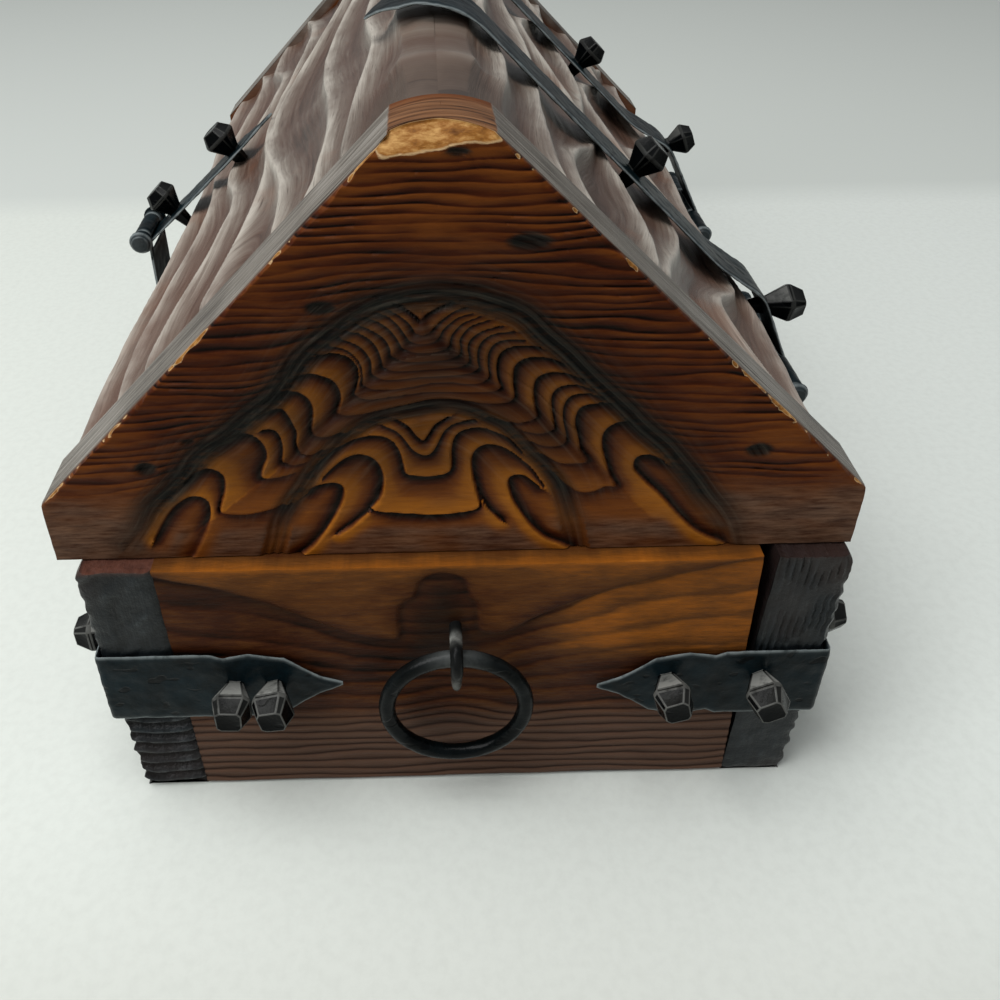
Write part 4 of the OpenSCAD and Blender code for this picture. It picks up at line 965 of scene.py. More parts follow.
def makeEndBoard(name, node, side):
    bm = slab(endBoard["acrossSteps"], endBoard["upSteps"], endBoard["backSteps"])
    u, v, w = slabPlaces(bm)
    z = endBoard["lift"] + (baseHeight - endBoard["lift"]) * v
    low = innerAt(endBoard["lift"])
    left = -innerAt(z)
    right = low + (innerTop - endBoard["wedge"] - low) * v
    y = left + (right - left) * u
    gap = lineDistance(y, z, smoothLine(fieldEdge))
    raised = ease(gap, -0.5, 1.3)
    # growth lines sweep down from the sides and bow over the ring
    brim = np.interp(y, [-84, -60, -42, -30, -20, 8, 20, 40, 60, 84], [22, 17, 9, 2.5, 0, 0, 6, 15, 21, 24])
    close = unit((z - 26) / np.maximum(58 + brim - 26, 1))
    flow = (z - brim * close ** 1.4 - 4 * bell(y, -4, 13) * bell(z, 33, 13)
            + 1.6 * wobble(y / 26, z / 9, 0, 4) + 0.4 * wobble(y / 8, z / 3, 0, 6))
    growth = flow / endBoard["ringPitch"]
    widen = 1 / endBoard["sweepPitch"] - 1 / endBoard["ringPitch"]
    growth = growth + (flow - 30) * widen * ease(flow, 28, 32) * 0.9
    growth = growth - np.floor(growth)
    lower = 1 - raised
    cross = ease(gap, 3.6, -8) * unit(1 - ((y + 7) / 12) ** 6) * ease(z, 46, 54)
    strong = (np.clip(0.7 + 0.5 * wobble(y / 24, z / 12, 0, 15), 0.3, 1)
              * (1 - 0.5 * ease(y, 12, 34) * ease(z, 34, 48)))
    drop = (lower * (0.55 + 0.75 * (1 - growth ** 0.8 * ease(1 - growth, -0.1, 0.3)) * strong * (1 - cross)
                     + 0.45 * np.exp(-np.abs(gap) / 3.5)))
    drop = (drop + raised * (0.1 + 0.15 * wobble(y / 9, z / 3, 0, 8)
                             + 0.55 * np.exp(-np.maximum(gap, 0) / 2.2)))
    rim = w > 0
    x = endX - np.where(rim, w * board, np.clip(drop, 0, 2.2))
    glow = ease(y, 14, 30) * ease(z, 46, 56)
    leftDark = ease(-y, 34, 50) * ease(z, 56, 62)
    # the raised field is painted darker along its edge: painted shade
    light = (raised * (0.44 + 0.1 * wobble(y / 12, z / 4, 0, 3) - 0.18 * np.exp(-np.maximum(gap, 0) / 2.5)
                       + 0.1 * ease(z, 70, 82)))
    light = light + lower * (0.34 + 0.36 * glow - 0.02 * leftDark + 0.12 * wobble(y / 14, z / 10, 0, 21))
    # a painted highlight along the top edge
    light = light + 0.2 * bell(z, baseHeight, 0.9)
    faded = lower * (1 - ease(z, 24, 36)) * 0.85
    # painted shade under the raised field's edge and at the lower left, and a darker band at mid height
    shade = (lower * (0.75 * np.exp(-np.abs(gap) / 3.2) * (1 - 0.5 * glow) + 0.12 * leftDark
                      + 0.25 * bell(z, 46, 10)))
    scorch = np.maximum(np.maximum(shade, 0.93 * cross), raised * 0.45 * np.exp(-np.maximum(gap, 0) / 1.6))
    fields = {"light": np.where(rim, 0.35, light), "contrast": np.where(rim, 0, lower * 0.85 * strong),
              "scorch": np.where(rim & (v < 1), 1.0, unit(scorch)), "ringCosine": np.cos(2 * np.pi * growth),
              "ringSine": np.sin(2 * np.pi * growth), "faded": np.where(rim, 0, faded)}
    place(bm, side * x, y, z)
    return addPiece(bm, name, endWood, "base", [node], fields, 50, insideWood)


makeEndBoard("rightEnd", "right_end_board", 1)
makeEndBoard("leftEnd", "left_end_board", -1)
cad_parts["bottom_board"].data.materials.clear()
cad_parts["bottom_board"].data.materials.append(insideWood)
print("end boards made")


# Corner straps

def spearHalf(tip, width):
    # half the width at a distance from a forged point
    return width / 2 * np.interp(tip, [0, 6, 10.5, 15, 24, 31, 34], [0.05, 0.27, 0.53, 0.84, 1, 0.88, 1])


cornerStrap = {"width": 24, "thick": 1.2, "frontLeg": 63.5, "backLeg": 61, "frontZ": 43.5, "backZ": 40,
               "bend": 0.5, "alongSteps": 170, "acrossSteps": 30, "dent": 0.3}


def cornerSeat(ySide):
    # height of the strap's middle, length of its legs, and how far out its side leg lies
    mid, leg = ((cornerStrap["frontZ"], cornerStrap["frontLeg"]) if ySide < 0
                else (cornerStrap["backZ"], cornerStrap["backLeg"]))
    top = mid + cornerStrap["width"] / 2
    return mid, leg, innerAt(top) + board - 1.4 * (1 - top / baseHeight) ** 2 + 0.1


def makeCornerStrap(name, node, ySide, xSide):
    mid, leg, seat = cornerSeat(ySide)
    t = cornerStrap["thick"] / 2
    line = roundBends([(endX + t, seat - leg), (endX + t, seat + t), (endX - leg, seat + t)],
                      cornerStrap["bend"] + t)
    seed = 10 * ySide + 3 * xSide

    def halfAt(want, far):
        return spearHalf(np.minimum(want, far - want), cornerStrap["width"])

    bm, p, q, across = forge(line[::-1], halfAt, cornerStrap["thick"], cornerStrap["dent"], seed,
                             cornerStrap["alongSteps"], cornerStrap["acrossSteps"])
    place(bm, xSide * p, ySide * q, mid + across)
    return addPiece(bm, name, strapIron, "base", [node], None, 50)


corners = [(ySide, xSide, front, hand) for ySide, front in ((-1, "front"), (1, "back"))
           for xSide, hand in ((1, "right"), (-1, "left"))]
for ySide, xSide, front, hand in corners:
    makeCornerStrap(front + hand.capitalize() + "Corner", front + "_" + hand + "_corner_strap", ySide, xSide)
print("corner straps made")


# Hinges

hinge = {"span": 123, "width": 24, "thick": 1.5, "knuckle": 3.5, "play": 0.25, "out": 7.5,
         "leafLength": 62, "leafHeight": 27, "leafDrop": 8, "leafGap": 0.2, "bendUp": {1: 3.2, -1: 11},
         "bendOut": {1: 4.1, -1: 5.5}, "ridgeBend": 24.7, "hump": 4.7, "lift": 19, "dent": 0.34,
         "tipAngle": -40, "legNail": {1: 8.6, -1: 2.6}, "legTilt": {1: 4, -1: 22},
         "slopeNail": 0.475, "leafNail": 8}
rollMid = hinge["knuckle"] - hinge["thick"] / 2
hingeY = chest["baseWidth"] / 2 + hinge["out"]
hingeZ = baseHeight
strapOff = chest["seatGap"] + hinge["thick"] / 2


def rolledEye(axis, start, turn):
    # the eye that sheet iron is rolled into round a pin
    return [np.array(axis) + rollMid * np.array([math.cos(start + turn * k), math.sin(start + turn * k)])
            for k in np.linspace(0, 1, 28)[1:]]


def eaveBend(side):
    return np.array([ridgeY, 0]) + roofPoint(1, hinge["bendUp"][side], hinge["bendOut"][side])


def legAngle(side):
    bend = eaveBend(side)
    return (math.atan2(bend[1] - hingeZ, hingeY - bend[0])
            - math.asin(rollMid / math.hypot(hingeY - bend[0], hingeZ - bend[1])))


def strapTip(want, total):
    return hinge["width"] / 2 * np.interp(want, [0, 4.5, 11, 15.5, 20], [0.06, 0.42, 1, 0.86, 1])


def makeHingeStrap(name, node, side):
    n = slopeNormal(1)
    bendZ = ridgeZ + hinge["hump"] - hinge["ridgeBend"]
    bendY = ridgeY + (slopeDistance(1) + strapOff - hinge["ridgeBend"] - n[1] * bendZ) / n[0]
    turns = np.linspace(math.radians(hinge["tipAngle"]), slopeAngle(1), 26)
    line = [np.array([bendY + hinge["ridgeBend"] * math.sin(a), bendZ + hinge["ridgeBend"] * math.cos(a)])
            for a in turns]
    leg = legAngle(side)
    end = np.array([hingeY, hingeZ]) + rollMid * np.array([math.sin(leg), math.cos(leg)])
    low = np.array([ridgeY, 0]) + roofPoint(1, hinge["bendUp"][side] + hinge["lift"], strapOff)
    slope = roundBends([line[-1], low, eaveBend(side), end], 4.0)
    line = line + slope[1:] + rolledEye((hingeY, hingeZ), math.pi / 2 - leg, -math.radians(305))
    bm, p, q, across = forge(line, strapTip, hinge["thick"], hinge["dent"], 40 + side, 260, 28)
    place(bm, side * hinge["span"] / 2 + across, p, q)
    return addPiece(bm, name, strapIron, "lid", [node], None, 50)


def makeHingeLeaf(name, node, side):
    middle = side * hinge["span"] / 2
    leafY = chest["baseWidth"] / 2 + hinge["leafGap"] + hinge["thick"] / 2
    top = baseHeight - hinge["leafDrop"]
    group = bmesh.new()
    flat, p, q, across = forge([(leafY, top - hinge["leafHeight"]), (leafY, top - 10), (leafY, top)],
                               lambda want, total: np.full(want.shape, hinge["leafLength"] / 2),
                               hinge["thick"], 0.3, 50 + side, 40, 80)
    place(flat, middle + across, p, q)
    join(group, flat)
    reach = math.hypot(hingeY - leafY, hingeZ - top)
    rise = math.atan2(hingeZ - top, hingeY - leafY) - math.asin(rollMid / reach)
    tangent = np.array([hingeY, hingeZ]) + rollMid * np.array([math.sin(rise), -math.cos(rise)])
    line = (roundBends([(leafY, top - 3), (leafY, top), tangent], 1.5)
            + rolledEye((hingeY, hingeZ), rise - math.pi / 2, math.radians(300)))
    ear = (hinge["leafLength"] - hinge["width"] - 2 * hinge["play"]) / 2
    for hand in (-1, 1):
        part, p, q, across = forge(line, lambda want, total: np.full(want.shape, ear / 2), hinge["thick"],
                                   0.2, 60 + side + hand, 90, 16, 0.12)
        place(part, middle + hand * (hinge["leafLength"] - ear) / 2
              + np.clip(across, -ear / 2 + 0.02, ear / 2 - 0.02), p, q)
        join(group, part)
    return addPiece(group, name, strapIron, "base", [node], None, 50)


def makePin(name, node, body, x, y, z, length, seed):
    # a pin whose beaten caps stand over the eyes at both ends
    half, cap = length / 2 + 3, hinge["knuckle"] + 0.8
    bm = tube(20, 90)

    def radiusAt(want, far):
        inward = np.minimum(want, far - want)
        return np.interp(inward, [0, 0.25, 1.5, 1.75, 2.8, 3.0, 3.05],
                         [cap - 1.6, cap - 1.2, cap - 0.4, cap, cap - 0.1, cap - 0.5, 1.7])

    want, far = bendTube(bm, [(x - half, y, z), (x, y, z), (x + half, y, z)], (0, 0, 1), radiusAt)
    inward = np.minimum(want, far - want)
    places = np.array([v.co[:] for v in bm.verts])
    hit = 1 - 0.1 * (inward < 2.9) * lumps(places[:, 0] / 2, places[:, 1] / 2.4, places[:, 2] / 2.4, seed)
    place(bm, places[:, 0], y + (places[:, 1] - y) * hit, z + (places[:, 2] - z) * hit)
    markWear(bm, unit(bell(inward, 1.7, 0.5) * 0.9 + 0.5 * bell(inward, 0.3, 0.3)))
    return addPiece(bm, name, strapIron, body, [node], None, 40)


for side, hand in ((1, "right"), (-1, "left")):
    makeHingeStrap(hand + "HingeStrap", hand + "_hinge_strap", side)
    makeHingeLeaf(hand + "HingeLeaf", hand + "_hinge_leaf", side)
    makePin(hand + "HingePin", hand + "_hinge_pin", "base", side * hinge["span"] / 2, hingeY, hingeZ,
            hinge["leafLength"], 4 + side)
print("hinges made")


# Hasp

hasp = {"strapWidth": 17, "strapLength": 65, "width": 23, "length": 44, "out": 13.3, "up": 1.7,
        "slotDrop": 29, "slotWidth": 6.5, "slotHeight": 15.9, "eye": 8, "staple": 1.4, "staplePlay": 0.4,
        "stapleHalf": 4.5, "nails": (20, 52), "eyeRoom": 4.4}
haspY = -chest["baseWidth"] / 2 - hasp["out"]
haspZ = eaveZ + hasp["up"]
haspV = ridgeY - haspY
haspOff = float(slopeNormal(-1) @ [haspV, haspZ]) - slopeDistance(-1)
haspPast = math.hypot(*(np.array([haspV - eaveV(-1), hasp["up"]]) - haspOff * slopeNormal(-1)))
haspTilt = math.asin((haspOff - hinge["knuckle"] - chest["seatGap"]) / hasp["strapLength"])
plateY = haspY + rollMid


def makeHaspStrap():
    angle = slopeAngle(-1) - haspTilt
    along, out = np.array([math.cos(angle), -math.sin(angle)]), np.array([math.sin(angle), math.cos(angle)])
    touch = np.array([haspV, haspZ]) - rollMid * out
    line = [touch - k * along for k in np.linspace(hasp["strapLength"], 0, 40)]
    line += rolledEye((haspV, haspZ), math.atan2(-out[1], -out[0]), math.radians(300))

    def halfAt(want, far):
        wide = spearHalf(want, hasp["strapWidth"])
        return np.minimum(wide, np.interp(want, [hasp["strapLength"] - 7, hasp["strapLength"] - 5],
                                          [hasp["strapWidth"] / 2, hasp["eye"]]))

    bm, p, q, across = forge(line, halfAt, hinge["thick"], 0.3, 71, 170, 20, 0.2)
    place(bm, across, ridgeY - p, q)
    addPiece(bm, "haspStrap", strapIron, "lid", ["hasp_strap"], None, 50)


def makeHaspPlate():
    group = bmesh.new()
    bm = bmesh.new()
    for size in (1.0, 0.5):
        bmesh.ops.create_circle(bm, cap_ends=False, segments=96, radius=size)
    bmesh.ops.bridge_loops(bm, edges=bm.edges[:])
    spokes = [e for e in bm.edges if abs(e.verts[0].co.length - e.verts[1].co.length) > 0.2]
    bmesh.ops.subdivide_edges(bm, edges=spokes, cuts=9)
    spots = np.array([v.co[:] for v in bm.verts])
    ray = spots[:, :2] / np.hypot(spots[:, 0], spots[:, 1])[:, None]
    part = unit((np.hypot(spots[:, 0], spots[:, 1]) - 0.5) / 0.5)
    part = np.where(part > 0.98, 1, part)
    # the slot, then the outline, met by each ray from the slot's middle
    r, lift = hasp["slotWidth"] / 2, (hasp["slotHeight"] - hasp["slotWidth"]) / 2
    flatHit = r / np.maximum(np.abs(ray[:, 0]), 1e-6)
    centre = np.sign(ray[:, 1]) * lift
    roundHit = ray[:, 1] * centre + np.sqrt(np.maximum(r * r - (ray[:, 0] * centre) ** 2, 0))
    slotHit = np.where(flatHit * np.abs(ray[:, 1]) <= lift, flatHit, roundHit)
    half, drop = hasp["width"] / 2, hasp["length"] - hasp["slotDrop"]
    top, shoulder, cheek = hasp["slotDrop"] - hasp["eyeRoom"], -(drop - 10), -(drop - 5)
    outline = [(half, shoulder), (half, top), (-half, top), (-half, shoulder), (-0.7 * half, cheek),
               (0, -drop), (0.7 * half, cheek)]
    rimHit = np.full(len(ray), 1e9)
    for (ax, az), (bx, bz) in zip(outline, outline[1:] + outline[:1]):
        ex, ez = bx - ax, bz - az
        cross = ray[:, 0] * ez - ray[:, 1] * ex
        cross = np.where(np.abs(cross) < 1e-9, 1e-9, cross)
        t = (ax * ez - az * ex) / cross
        k = (ax * ray[:, 1] - az * ray[:, 0]) / cross
        rimHit = np.where((t > 0) & (k >= -1e-6) & (k <= 1 + 1e-6) & (t < rimHit), t, rimHit)
    reach = slotHit + (rimHit - slotHit) * part
    place(bm, ray[:, 0] * reach, np.zeros(len(ray)), ray[:, 1] * reach)
    bm.normal_update()
    made = bmesh.ops.extrude_face_region(bm, geom=bm.faces[:], use_keep_orig=True)["geom"]
    bmesh.ops.translate(bm, vec=(0, hinge["thick"], 0), verts=vertsOf(made))
    places = np.array([v.co[:] for v in bm.verts])
    centreY = (places[:, 1].min() + places[:, 1].max()) / 2
    x, z, deep = places[:, 0], places[:, 2], places[:, 1] - centreY
    edge = np.minimum(np.minimum(half - np.abs(x), top - z), 2)
    hit = 0.2 * lumps(x / 4.5, z / 4.5, np.sign(deep), 77) + 0.3 * np.exp(-np.maximum(edge, 0) / 0.5)
    place(bm, x, plateY + deep - np.sign(deep) * hit, haspZ - hasp["slotDrop"] + z)
    markWear(bm, unit(np.exp(-np.maximum(edge, 0) / 0.6)))
    join(group, bm)
    # its two eyes
    line = ([(plateY, haspZ - 7), (plateY, haspZ - 3), (plateY, haspZ)]
            + rolledEye((haspY, haspZ), 0.0, math.radians(300)))
    eye = hasp["width"] / 2 - hasp["eye"] - hinge["play"]
    for hand in (-1, 1):
        part, p, q, across = forge(line, lambda want, total: np.full(want.shape, eye / 2), hinge["thick"],
                                   0.12, 80 + hand, 70, 6, 0.0)
        place(part, hand * (hasp["width"] - eye) / 2 + across, p, q)
        join(group, part)
    addPiece(group, "haspPlate", strapIron, "hasp", ["hasp_plate"], None, 45)


def makeStaple():
    # a round bar driven in at both ends, its nose through the slot
    spot = haspZ - hasp["slotDrop"]
    nose = plateY + hinge["thick"] / 2 + hasp["staplePlay"] + hasp["staple"] + hasp["stapleHalf"]
    root = -chest["baseWidth"] / 2 + 12
    turn = [(0, nose - hasp["stapleHalf"] * math.sin(a), spot - hasp["stapleHalf"] * math.cos(a))
            for a in np.linspace(0, math.pi, 24)]
    line = [(0, root, spot - hasp["stapleHalf"]), (0, (root + nose) / 2, spot - hasp["stapleHalf"])] + turn
    line += [(0, (root + nose) / 2, spot + hasp["stapleHalf"]), (0, root, spot + hasp["stapleHalf"])]
    bm = tube(16, 110)

    def radiusAt(want, far):
        return hasp["staple"] * ease(np.minimum(want, far - want), -3, 5)

    want, far = bendTube(bm, line, (1, 0, 0), radiusAt, 0.07, 5.0)
    markWear(bm, unit(0.8 * bell(want, far / 2, 5)))
    addPiece(bm, "haspStaple", strapIron, "base", ["hasp_staple"], None, 50)


makeHaspStrap()
makeHaspPlate()
makeStaple()
makePin("haspPin", "hasp_pin", "lid", 0, haspY, haspZ, hasp["width"], 9)
print("hasp made")


# Nails

nail = {"width": 10, "neck": 4.8, "top": 6.6, "flare": 0.56, "band": 0.08, "cornerCut": 0.16, "shank": 13,
        "edge": 0.22, "baseHeight": 12.4, "lidHeight": 10, "frontEnd": (35.5, 46.2), "backEnd": (17.7, 43),
        "sides": (22, 44), "backUp": 2.5}


def nailShape(height, seed, worn, up):
    # one forged nail on the plane z = 0: its neck flares to a square head, hammered to a blunt point;
    # the flared facets that look up are painted pale as a painted highlight from the light above, and the
    # edges are worn
    bm = bmesh.new()
    verts = bmesh.ops.create_cube(bm, size=1)["verts"]
    bmesh.ops.scale(bm, vec=(nail["neck"], nail["neck"], 1), verts=verts)
    upright = [e for e in bm.edges if abs(e.verts[0].co.z - e.verts[1].co.z) > 0.5]
    bmesh.ops.bevel(bm, geom=upright, offset=nail["cornerCut"] * nail["neck"], segments=1, profile=0.5,
                    affect="EDGES", material=-1)

    def endFace(hand):
        return max(bm.faces, key=lambda f: hand * f.calc_center_median().z)

    def grow(face, up, size):
        made = bmesh.ops.extrude_face_region(bm, geom=[face])["geom"]
        bmesh.ops.delete(bm, geom=[face], context="FACES")
        fresh = vertsOf(made)
        bmesh.ops.translate(bm, vec=(0, 0, up), verts=fresh)
        bmesh.ops.scale(bm, vec=(size, size, 1), verts=fresh)

    bmesh.ops.translate(bm, vec=(0, 0, 0.5), verts=bm.verts)
    for vert in bm.verts:
        vert.co.z = -0.9 if vert.co.z < 0.5 else 0.2
    flare, band = nail["flare"] * height, nail["band"] * height
    grow(endFace(1), flare - 0.2, nail["width"] / nail["neck"])
    grow(endFace(1), band, 1.0)
    grow(endFace(1), height - flare - band, nail["top"] / nail["width"])
    # no two are alike: each head leans and its facets differ
    for vert in bm.verts:
        if vert.co.z > 1:
            x, y, z = vert.co
            push = noise.noise_vector((x * 0.7 + seed, y * 0.7, z * 0.35))
            lean = (z / height) ** 2
            vert.co += Vector((push.x * 0.55, push.y * 0.55, push.z * 0.45 * (z < height * 0.9))) * 0.9
            vert.co += (Vector((math.sin(seed) * 0.35, math.cos(seed * 1.7) * 0.35,
                                (x * math.sin(seed * 3) + y * math.cos(seed * 2)) * 0.06)) * lean)
            vert.co.z = min(vert.co.z, height - 0.02)
            vert.co.x, vert.co.y = (max(-nail["width"] / 2, min(nail["width"] / 2, c))
                                    for c in (vert.co.x, vert.co.y))
    arrises = [e for e in bm.edges if e.calc_face_angle(0) > 0.2 and max(v.co.z for v in e.verts) > 1]
    bmesh.ops.bevel(bm, geom=arrises, offset=nail["edge"], segments=2, profile=0.5, affect="EDGES",
                    material=-1)
    facets = [f for f in bm.faces if f.calc_area() > 2.5]
    grow(endFace(-1), -nail["shank"] + 0.9, 0.3)
    layer = bm.verts.layers.float.new("wear")
    for vert in bm.verts:
        vert[layer] = 0.32 * worn if vert.co.z > 1 else 0.0
    facets = [f for f in facets if f.is_valid]
    bmesh.ops.inset_individual(bm, faces=facets, thickness=0.16, depth=-0.04, use_even_offset=True)
    # facets that face up get the pale colour as a painted highlight; facets facing down stay dark
    for face in facets:
        for vert in face.verts:
            tip = (vert.co.z / height - nail["flare"]) / (1 - nail["flare"])
            bare = max(0.0, 1 + 0.5 * tip) if tip < 0.02 else 0.05
            vert[layer] = worn * float(ease(face.normal.dot(up), 0.35, 0.75)) * bare
    return bm


def onEnd(side, y, z, off):
    return Matrix.Translation((side * (endX + off), y, z)) @ Matrix.Rotation(math.radians(90 * side), 4, "Y")


def onSide(side, x, z, off):
    return Matrix.Translation((x, side * off, z)) @ Matrix.Rotation(math.radians(-90 * side), 4, "X")


def onRoof(side, s, x, off):
    return (Matrix.Translation((x, ridgeY, 0)) @ Matrix.Diagonal((1, side, 1, 1))
            @ Matrix.Translation((0, eaveV(side), eaveZ)) @ Matrix.Rotation(-slopeAngle(side), 4, "X")
            @ Matrix.Translation((0, -s, off)))


def makeNails(name, node, body, stands, height, turn, seed, worn):
    group = bmesh.new()
    heights = height if isinstance(height, list) else [height] * len(stands)
    for k, (stand, tall) in enumerate(zip(stands, heights)):
        stand = stand @ Matrix.Rotation(math.radians(turn + 9 * math.sin(seed + 2.3 * k)), 4, "Z")
        up = stand.to_3x3().inverted() @ Vector((0, 0, 1))
        join(group, nailShape(tall, seed + 1.7 * k, worn, up), stand)
    return addPiece(group, name, nailIron, body, [node], None, 32)


for ySide, xSide, front, hand in corners:
    mid, leg, seat = cornerSeat(ySide)
    z = mid if ySide < 0 else mid + nail["backUp"]
    along, turn = (nail["frontEnd"], 5) if ySide < 0 else (nail["backEnd"], 25)
    stands = [onEnd(xSide, ySide * (chest["baseWidth"] / 2 - d), z, cornerStrap["thick"]) for d in along]
    stands += [onSide(ySide, xSide * (endX - d), z, seat + cornerStrap["thick"]) for d in nail["sides"]]
    makeNails(front + hand.capitalize() + "CornerNails", front + "_" + hand + "_corner_nails", "base", stands,
              nail["baseHeight"], turn, 3 + 5 * ySide + xSide, 1.0)

stands, heights = [], []
for side in (-1, 1):
    x = side * hinge["span"] / 2
    stands.append(onRoof(1, hinge["slopeNail"] * slopeLength(1), x, chest["seatGap"] + hinge["thick"]))
    bend, leg, down = eaveBend(side), legAngle(side), hinge["legNail"][side]
    spot = (x, bend[0] + down * math.cos(leg), bend[1] - down * math.sin(leg))
    stands.append(Matrix.Translation(spot)
                  @ Matrix.Rotation(math.radians(hinge["legTilt"][side] - 90), 4, "X")
                  @ Matrix.Translation((0, 0, hinge["thick"] / 2)))
    heights += [nail["lidHeight"], nail["baseHeight"] if side > 0 else nail["lidHeight"]]
makeNails("hingeStrapNails", "hinge_strap_nails", "lid", stands, heights, 20, 21, 0.3)

leafNailZ = baseHeight - hinge["leafDrop"] - hinge["leafHeight"] / 2
leafNailX = hinge["leafLength"] / 2 - hinge["leafNail"]
leafFace = chest["baseWidth"] / 2 + hinge["leafGap"] + hinge["thick"]
stands = [onSide(1, side * hinge["span"] / 2 + dx, leafNailZ, leafFace)
          for side in (-1, 1) for dx in (-leafNailX, leafNailX)]
makeNails("hingeLeafNails", "hinge_leaf_nails", "base", stands, nail["baseHeight"], 8, 31, 0.4)

haspStand = (onRoof(-1, hasp["strapLength"] - haspPast, 0, chest["seatGap"])
             @ Matrix.Rotation(haspTilt, 4, "X"))
makeNails("haspStrapNails", "hasp_strap_nails", "lid",
          [haspStand @ Matrix.Translation((0, d, hinge["thick"])) for d in hasp["nails"]],
          nail["lidHeight"], 12, 41, 0.3)
print("nails made")


# Rings and their hooks

ring = {"radius": 18.5, "wire": 2.4, "z": 58.3, "out": 6.5, "shift": 2.9, "hook": 3.8, "play": 0.3,
        "hookEnd": -17, "hookPoint": 8}


def makeRing(name, node, body, side):
    bm = bmesh.new()
    made = bmesh.ops.create_circle(bm, cap_ends=False, segments=16, radius=ring["wire"])["verts"]
    bmesh.ops.rotate(bm, cent=(0, 0, 0), matrix=Matrix.Rotation(math.pi / 2, 3, "X"), verts=made)
    bmesh.ops.translate(bm, vec=(ring["radius"], 0, 0), verts=made)
    bmesh.ops.spin(bm, geom=bm.verts[:] + bm.edges[:], cent=(0, 0, 0), axis=(0, 0, 1), dvec=(0, 0, 0),
                   angle=2 * math.pi, steps=140, use_merge=True, use_duplicate=False)
    spots = np.array([v.co[:] for v in bm.verts])
    turn = np.arctan2(spots[:, 1], spots[:, 0])
    out, up = np.hypot(spots[:, 0], spots[:, 1]) - ring["radius"], spots[:, 2]
    # beaten flats round the wire, and a weld at the bottom
    hit = 1 - 0.09 * lumps(turn * 5.5, out * 0.7, up * 0.7, 6 + side) - 0.04 * lumps(turn * 18, out, up, 3)
    far = ring["radius"] + out * hit
    place(bm, side * (endX + ring["out"]) + up * hit, far * np.sin(turn) - ring["shift"],
          ring["z"] - ring["radius"] + far * np.cos(turn))
    markWear(bm, unit(0.8 * bell(np.abs(turn), 0, 0.3) + 0.05 * ease(out, 1.2, 2.4)))
    return addPiece(bm, name, ringIron, body, [node], None, 50)


def makeHook(name, node, side):
    # a bar driven into the board, bent over the ring and drawn to a point
    middle = ring["wire"] + ring["play"] + ring["hook"] / 2
    line = [(-ring["out"] - 13, middle), (-ring["out"] - 6, middle), (-ring["out"], middle)]
    line += [(middle * math.cos(math.radians(a)), middle * math.sin(math.radians(a)))
             for a in np.linspace(90, ring["hookEnd"], 22)]
    end = math.radians(ring["hookEnd"])
    line += [(line[-1][0] + k * math.sin(end), line[-1][1] - k * math.cos(end))
             for k in np.linspace(0, ring["hookPoint"], 8)[1:]]
    bm = tube(18, 90)

    def radiusAt(want, far):
        left = far - want
        return (ring["hook"] / 2 * np.interp(left, [0, 0.4, 1.4, 5.0, 9.0], [0.25, 0.52, 0.72, 0.84, 1.0])
                * np.interp(want, [0, 10], [0.5, 1.0]))

    line = [(side * (endX + ring["out"] + a), -ring["shift"], ring["z"] + b) for a, b in line]
    want, far = bendTube(bm, line, (0, 1, 0), radiusAt, 0.1, 11.0, 0.92)
    markWear(bm, unit(0.02 + 0.85 * bell(want, far - 18, 1.6) + 0.42 * bell(want, far - 4, 3.5)))
    return addPiece(bm, name, nailIron, "base", [node], None, 50)


makeRing("rightRing", "right_ring", "right_ring", 1)
makeRing("leftRing", "left_ring", "left_ring", -1)
makeHook("rightHook", "right_ring_hook", 1)
makeHook("leftHook", "left_ring_hook", -1)
print("rings and hooks made")


# Floor, light and camera

room = {"floor": (217, 222, 215), "rightFloor": (220, 225, 220), "nearFloor": (187, 188, 180),
        "far": (204, 209, 204), "speck": (170, 172, 166), "tableEdge": -0.293, "world": 0.26}
# Each lamp: where it stands, what it looks at, its size and its power
lamps = {"overhead": ((0.2, -0.5, 1.9), (0, 0, 0), 1.5, 33),
         "frontLeft": ((0.62, -0.72, 0.78), (0.1, 0, 0.08), 0.5, 4.2)}


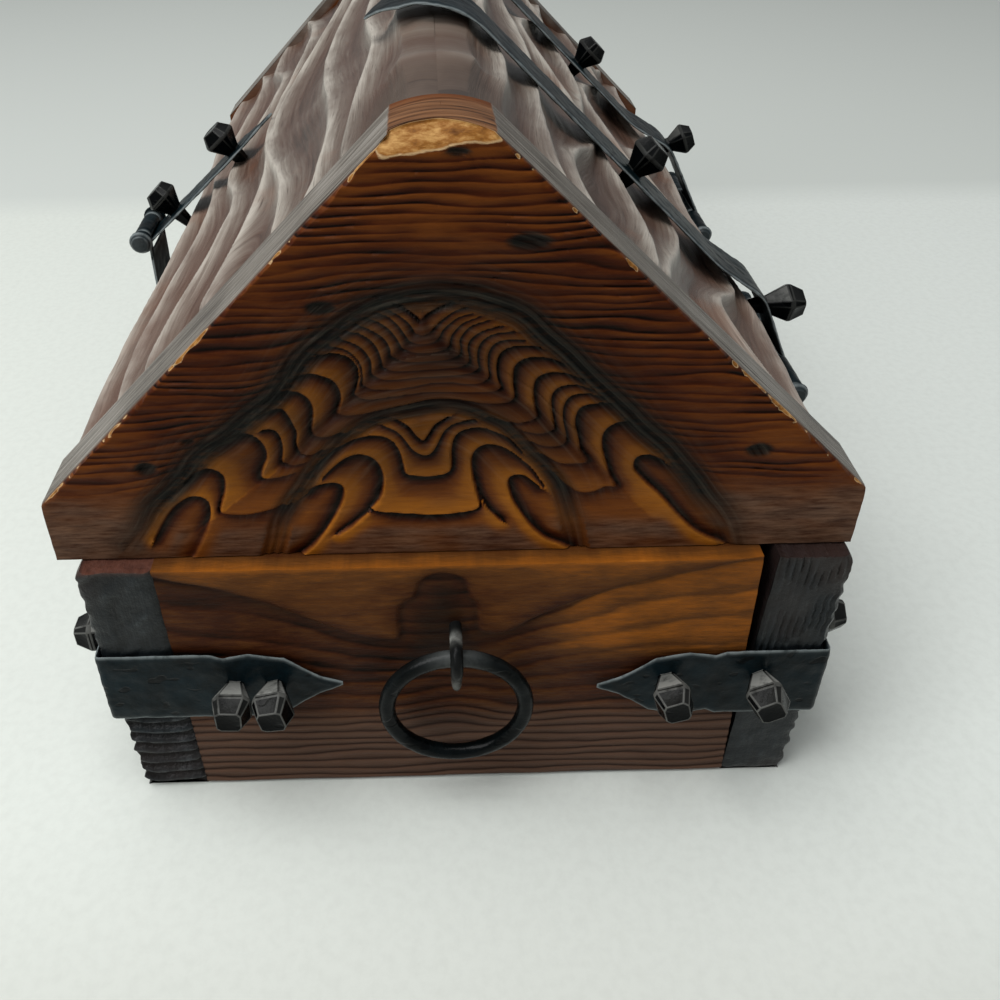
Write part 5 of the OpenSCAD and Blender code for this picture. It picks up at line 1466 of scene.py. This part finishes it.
def makeRoom():
    bm = bmesh.new()
    bmesh.ops.create_grid(bm, x_segments=4, y_segments=4, size=4)
    mesh = bpy.data.meshes.new("floor")
    bm.to_mesh(mesh)
    bm.free()
    floor = bpy.data.objects.new("floor", mesh)
    bpy.context.scene.collection.objects.link(floor)
    material, tree, shader = newFinish("paleFloor", "floor", Roughness=0.6, Specular_IOR_Level=0.2)
    where = addNode(tree, "SeparateXYZ", {"Vector": addNode(tree, "TexCoord").outputs["Object"]})
    reach = addNode(tree, "MapRange", {"Value": where.outputs["X"], "From Min": room["tableEdge"] - 0.02,
                                       "From Max": room["tableEdge"] + 0.02}).outputs[0]
    across = addNode(tree, "MapRange", {"Value": where.outputs["Y"], "From Min": -0.3, "From Max": 0.35},
                     interpolation_type="SMOOTHSTEP").outputs[0]
    speck = speckle(tree, objectPlaces(tree), 300, 3, 0.6)
    near = addNode(tree, "MapRange", {"Value": where.outputs["X"], "From Min": 0.16, "From Max": 0.34},
                   interpolation_type="SMOOTHSTEP").outputs[0]
    base = mix(tree, across, tone(*room["floor"]), tone(*room["rightFloor"]))
    base = mix(tree, near, base, tone(*room["nearFloor"]))
    pale = mix(tree, ramp(tree, speck, (0.4, 0.0), (0.7, 0.12)), base, tone(*room["speck"]))
    tree.links.new(mix(tree, reach, tone(*room["far"]), pale), shader.inputs["Base Color"])
    mesh.materials.append(material)
    world = bpy.data.worlds.new("studio")
    bpy.context.scene.world = world
    world.use_nodes = True
    world.node_tree.nodes["Background"].inputs["Color"].default_value = (0.97, 0.99, 1.0, 1)
    world.node_tree.nodes["Background"].inputs["Strength"].default_value = room["world"]
    for name, (spot, aim, size, power) in lamps.items():
        light = bpy.data.lights.new(name, "AREA")
        light.size = size
        light.energy = power
        lamp = bpy.data.objects.new(name, light)
        bpy.context.scene.collection.objects.link(lamp)
        lamp.location = spot
        lamp.rotation_mode = "QUATERNION"
        lamp.rotation_quaternion = (Vector(aim) - Vector(spot)).to_track_quat("-Z", "Y")


def makeCamera():
    # the photograph's own view: where it stands, and how it is pitched, turned and rolled
    view = {"spot": (0.354598, -0.009172, 0.248508), "pitch": 0.63099, "turn": 0.01772, "roll": 0.01123,
            "middle": (442.03, 470.73), "pixels": 1000, "lens": 36.0, "sensor": 36.0}
    pitch, turn, roll = view["pitch"], view["turn"], view["roll"]
    ahead = Vector((math.sin(turn) * math.cos(pitch), math.cos(turn) * math.cos(pitch), -math.sin(pitch)))
    right = Vector((math.cos(turn), -math.sin(turn), 0))
    down = ahead.cross(right)
    rolledRight = math.cos(roll) * right + math.sin(roll) * down
    rolledDown = -math.sin(roll) * right + math.cos(roll) * down
    axes = [Vector((-a.y, a.x, a.z)) for a in (rolledRight, -rolledDown, -ahead)]
    data = bpy.data.cameras.new("photoView")
    data.lens, data.sensor_width = view["lens"], view["sensor"]
    data.shift_x = 0.5 - view["middle"][0] / view["pixels"]
    data.shift_y = view["middle"][1] / view["pixels"] - 0.5
    data.clip_start, data.clip_end = 0.01, 20
    camera = bpy.data.objects.new("photoView", data)
    bpy.context.scene.collection.objects.link(camera)
    turned = Matrix((axes[0], axes[1], axes[2])).transposed().to_4x4()
    camera.matrix_world = Matrix.Translation(Vector(view["spot"])) @ turned
    bpy.context.scene.camera = camera


makeRoom()
makeCamera()
bpy.context.scene.view_settings.view_transform = "Standard"

print("scene ready")
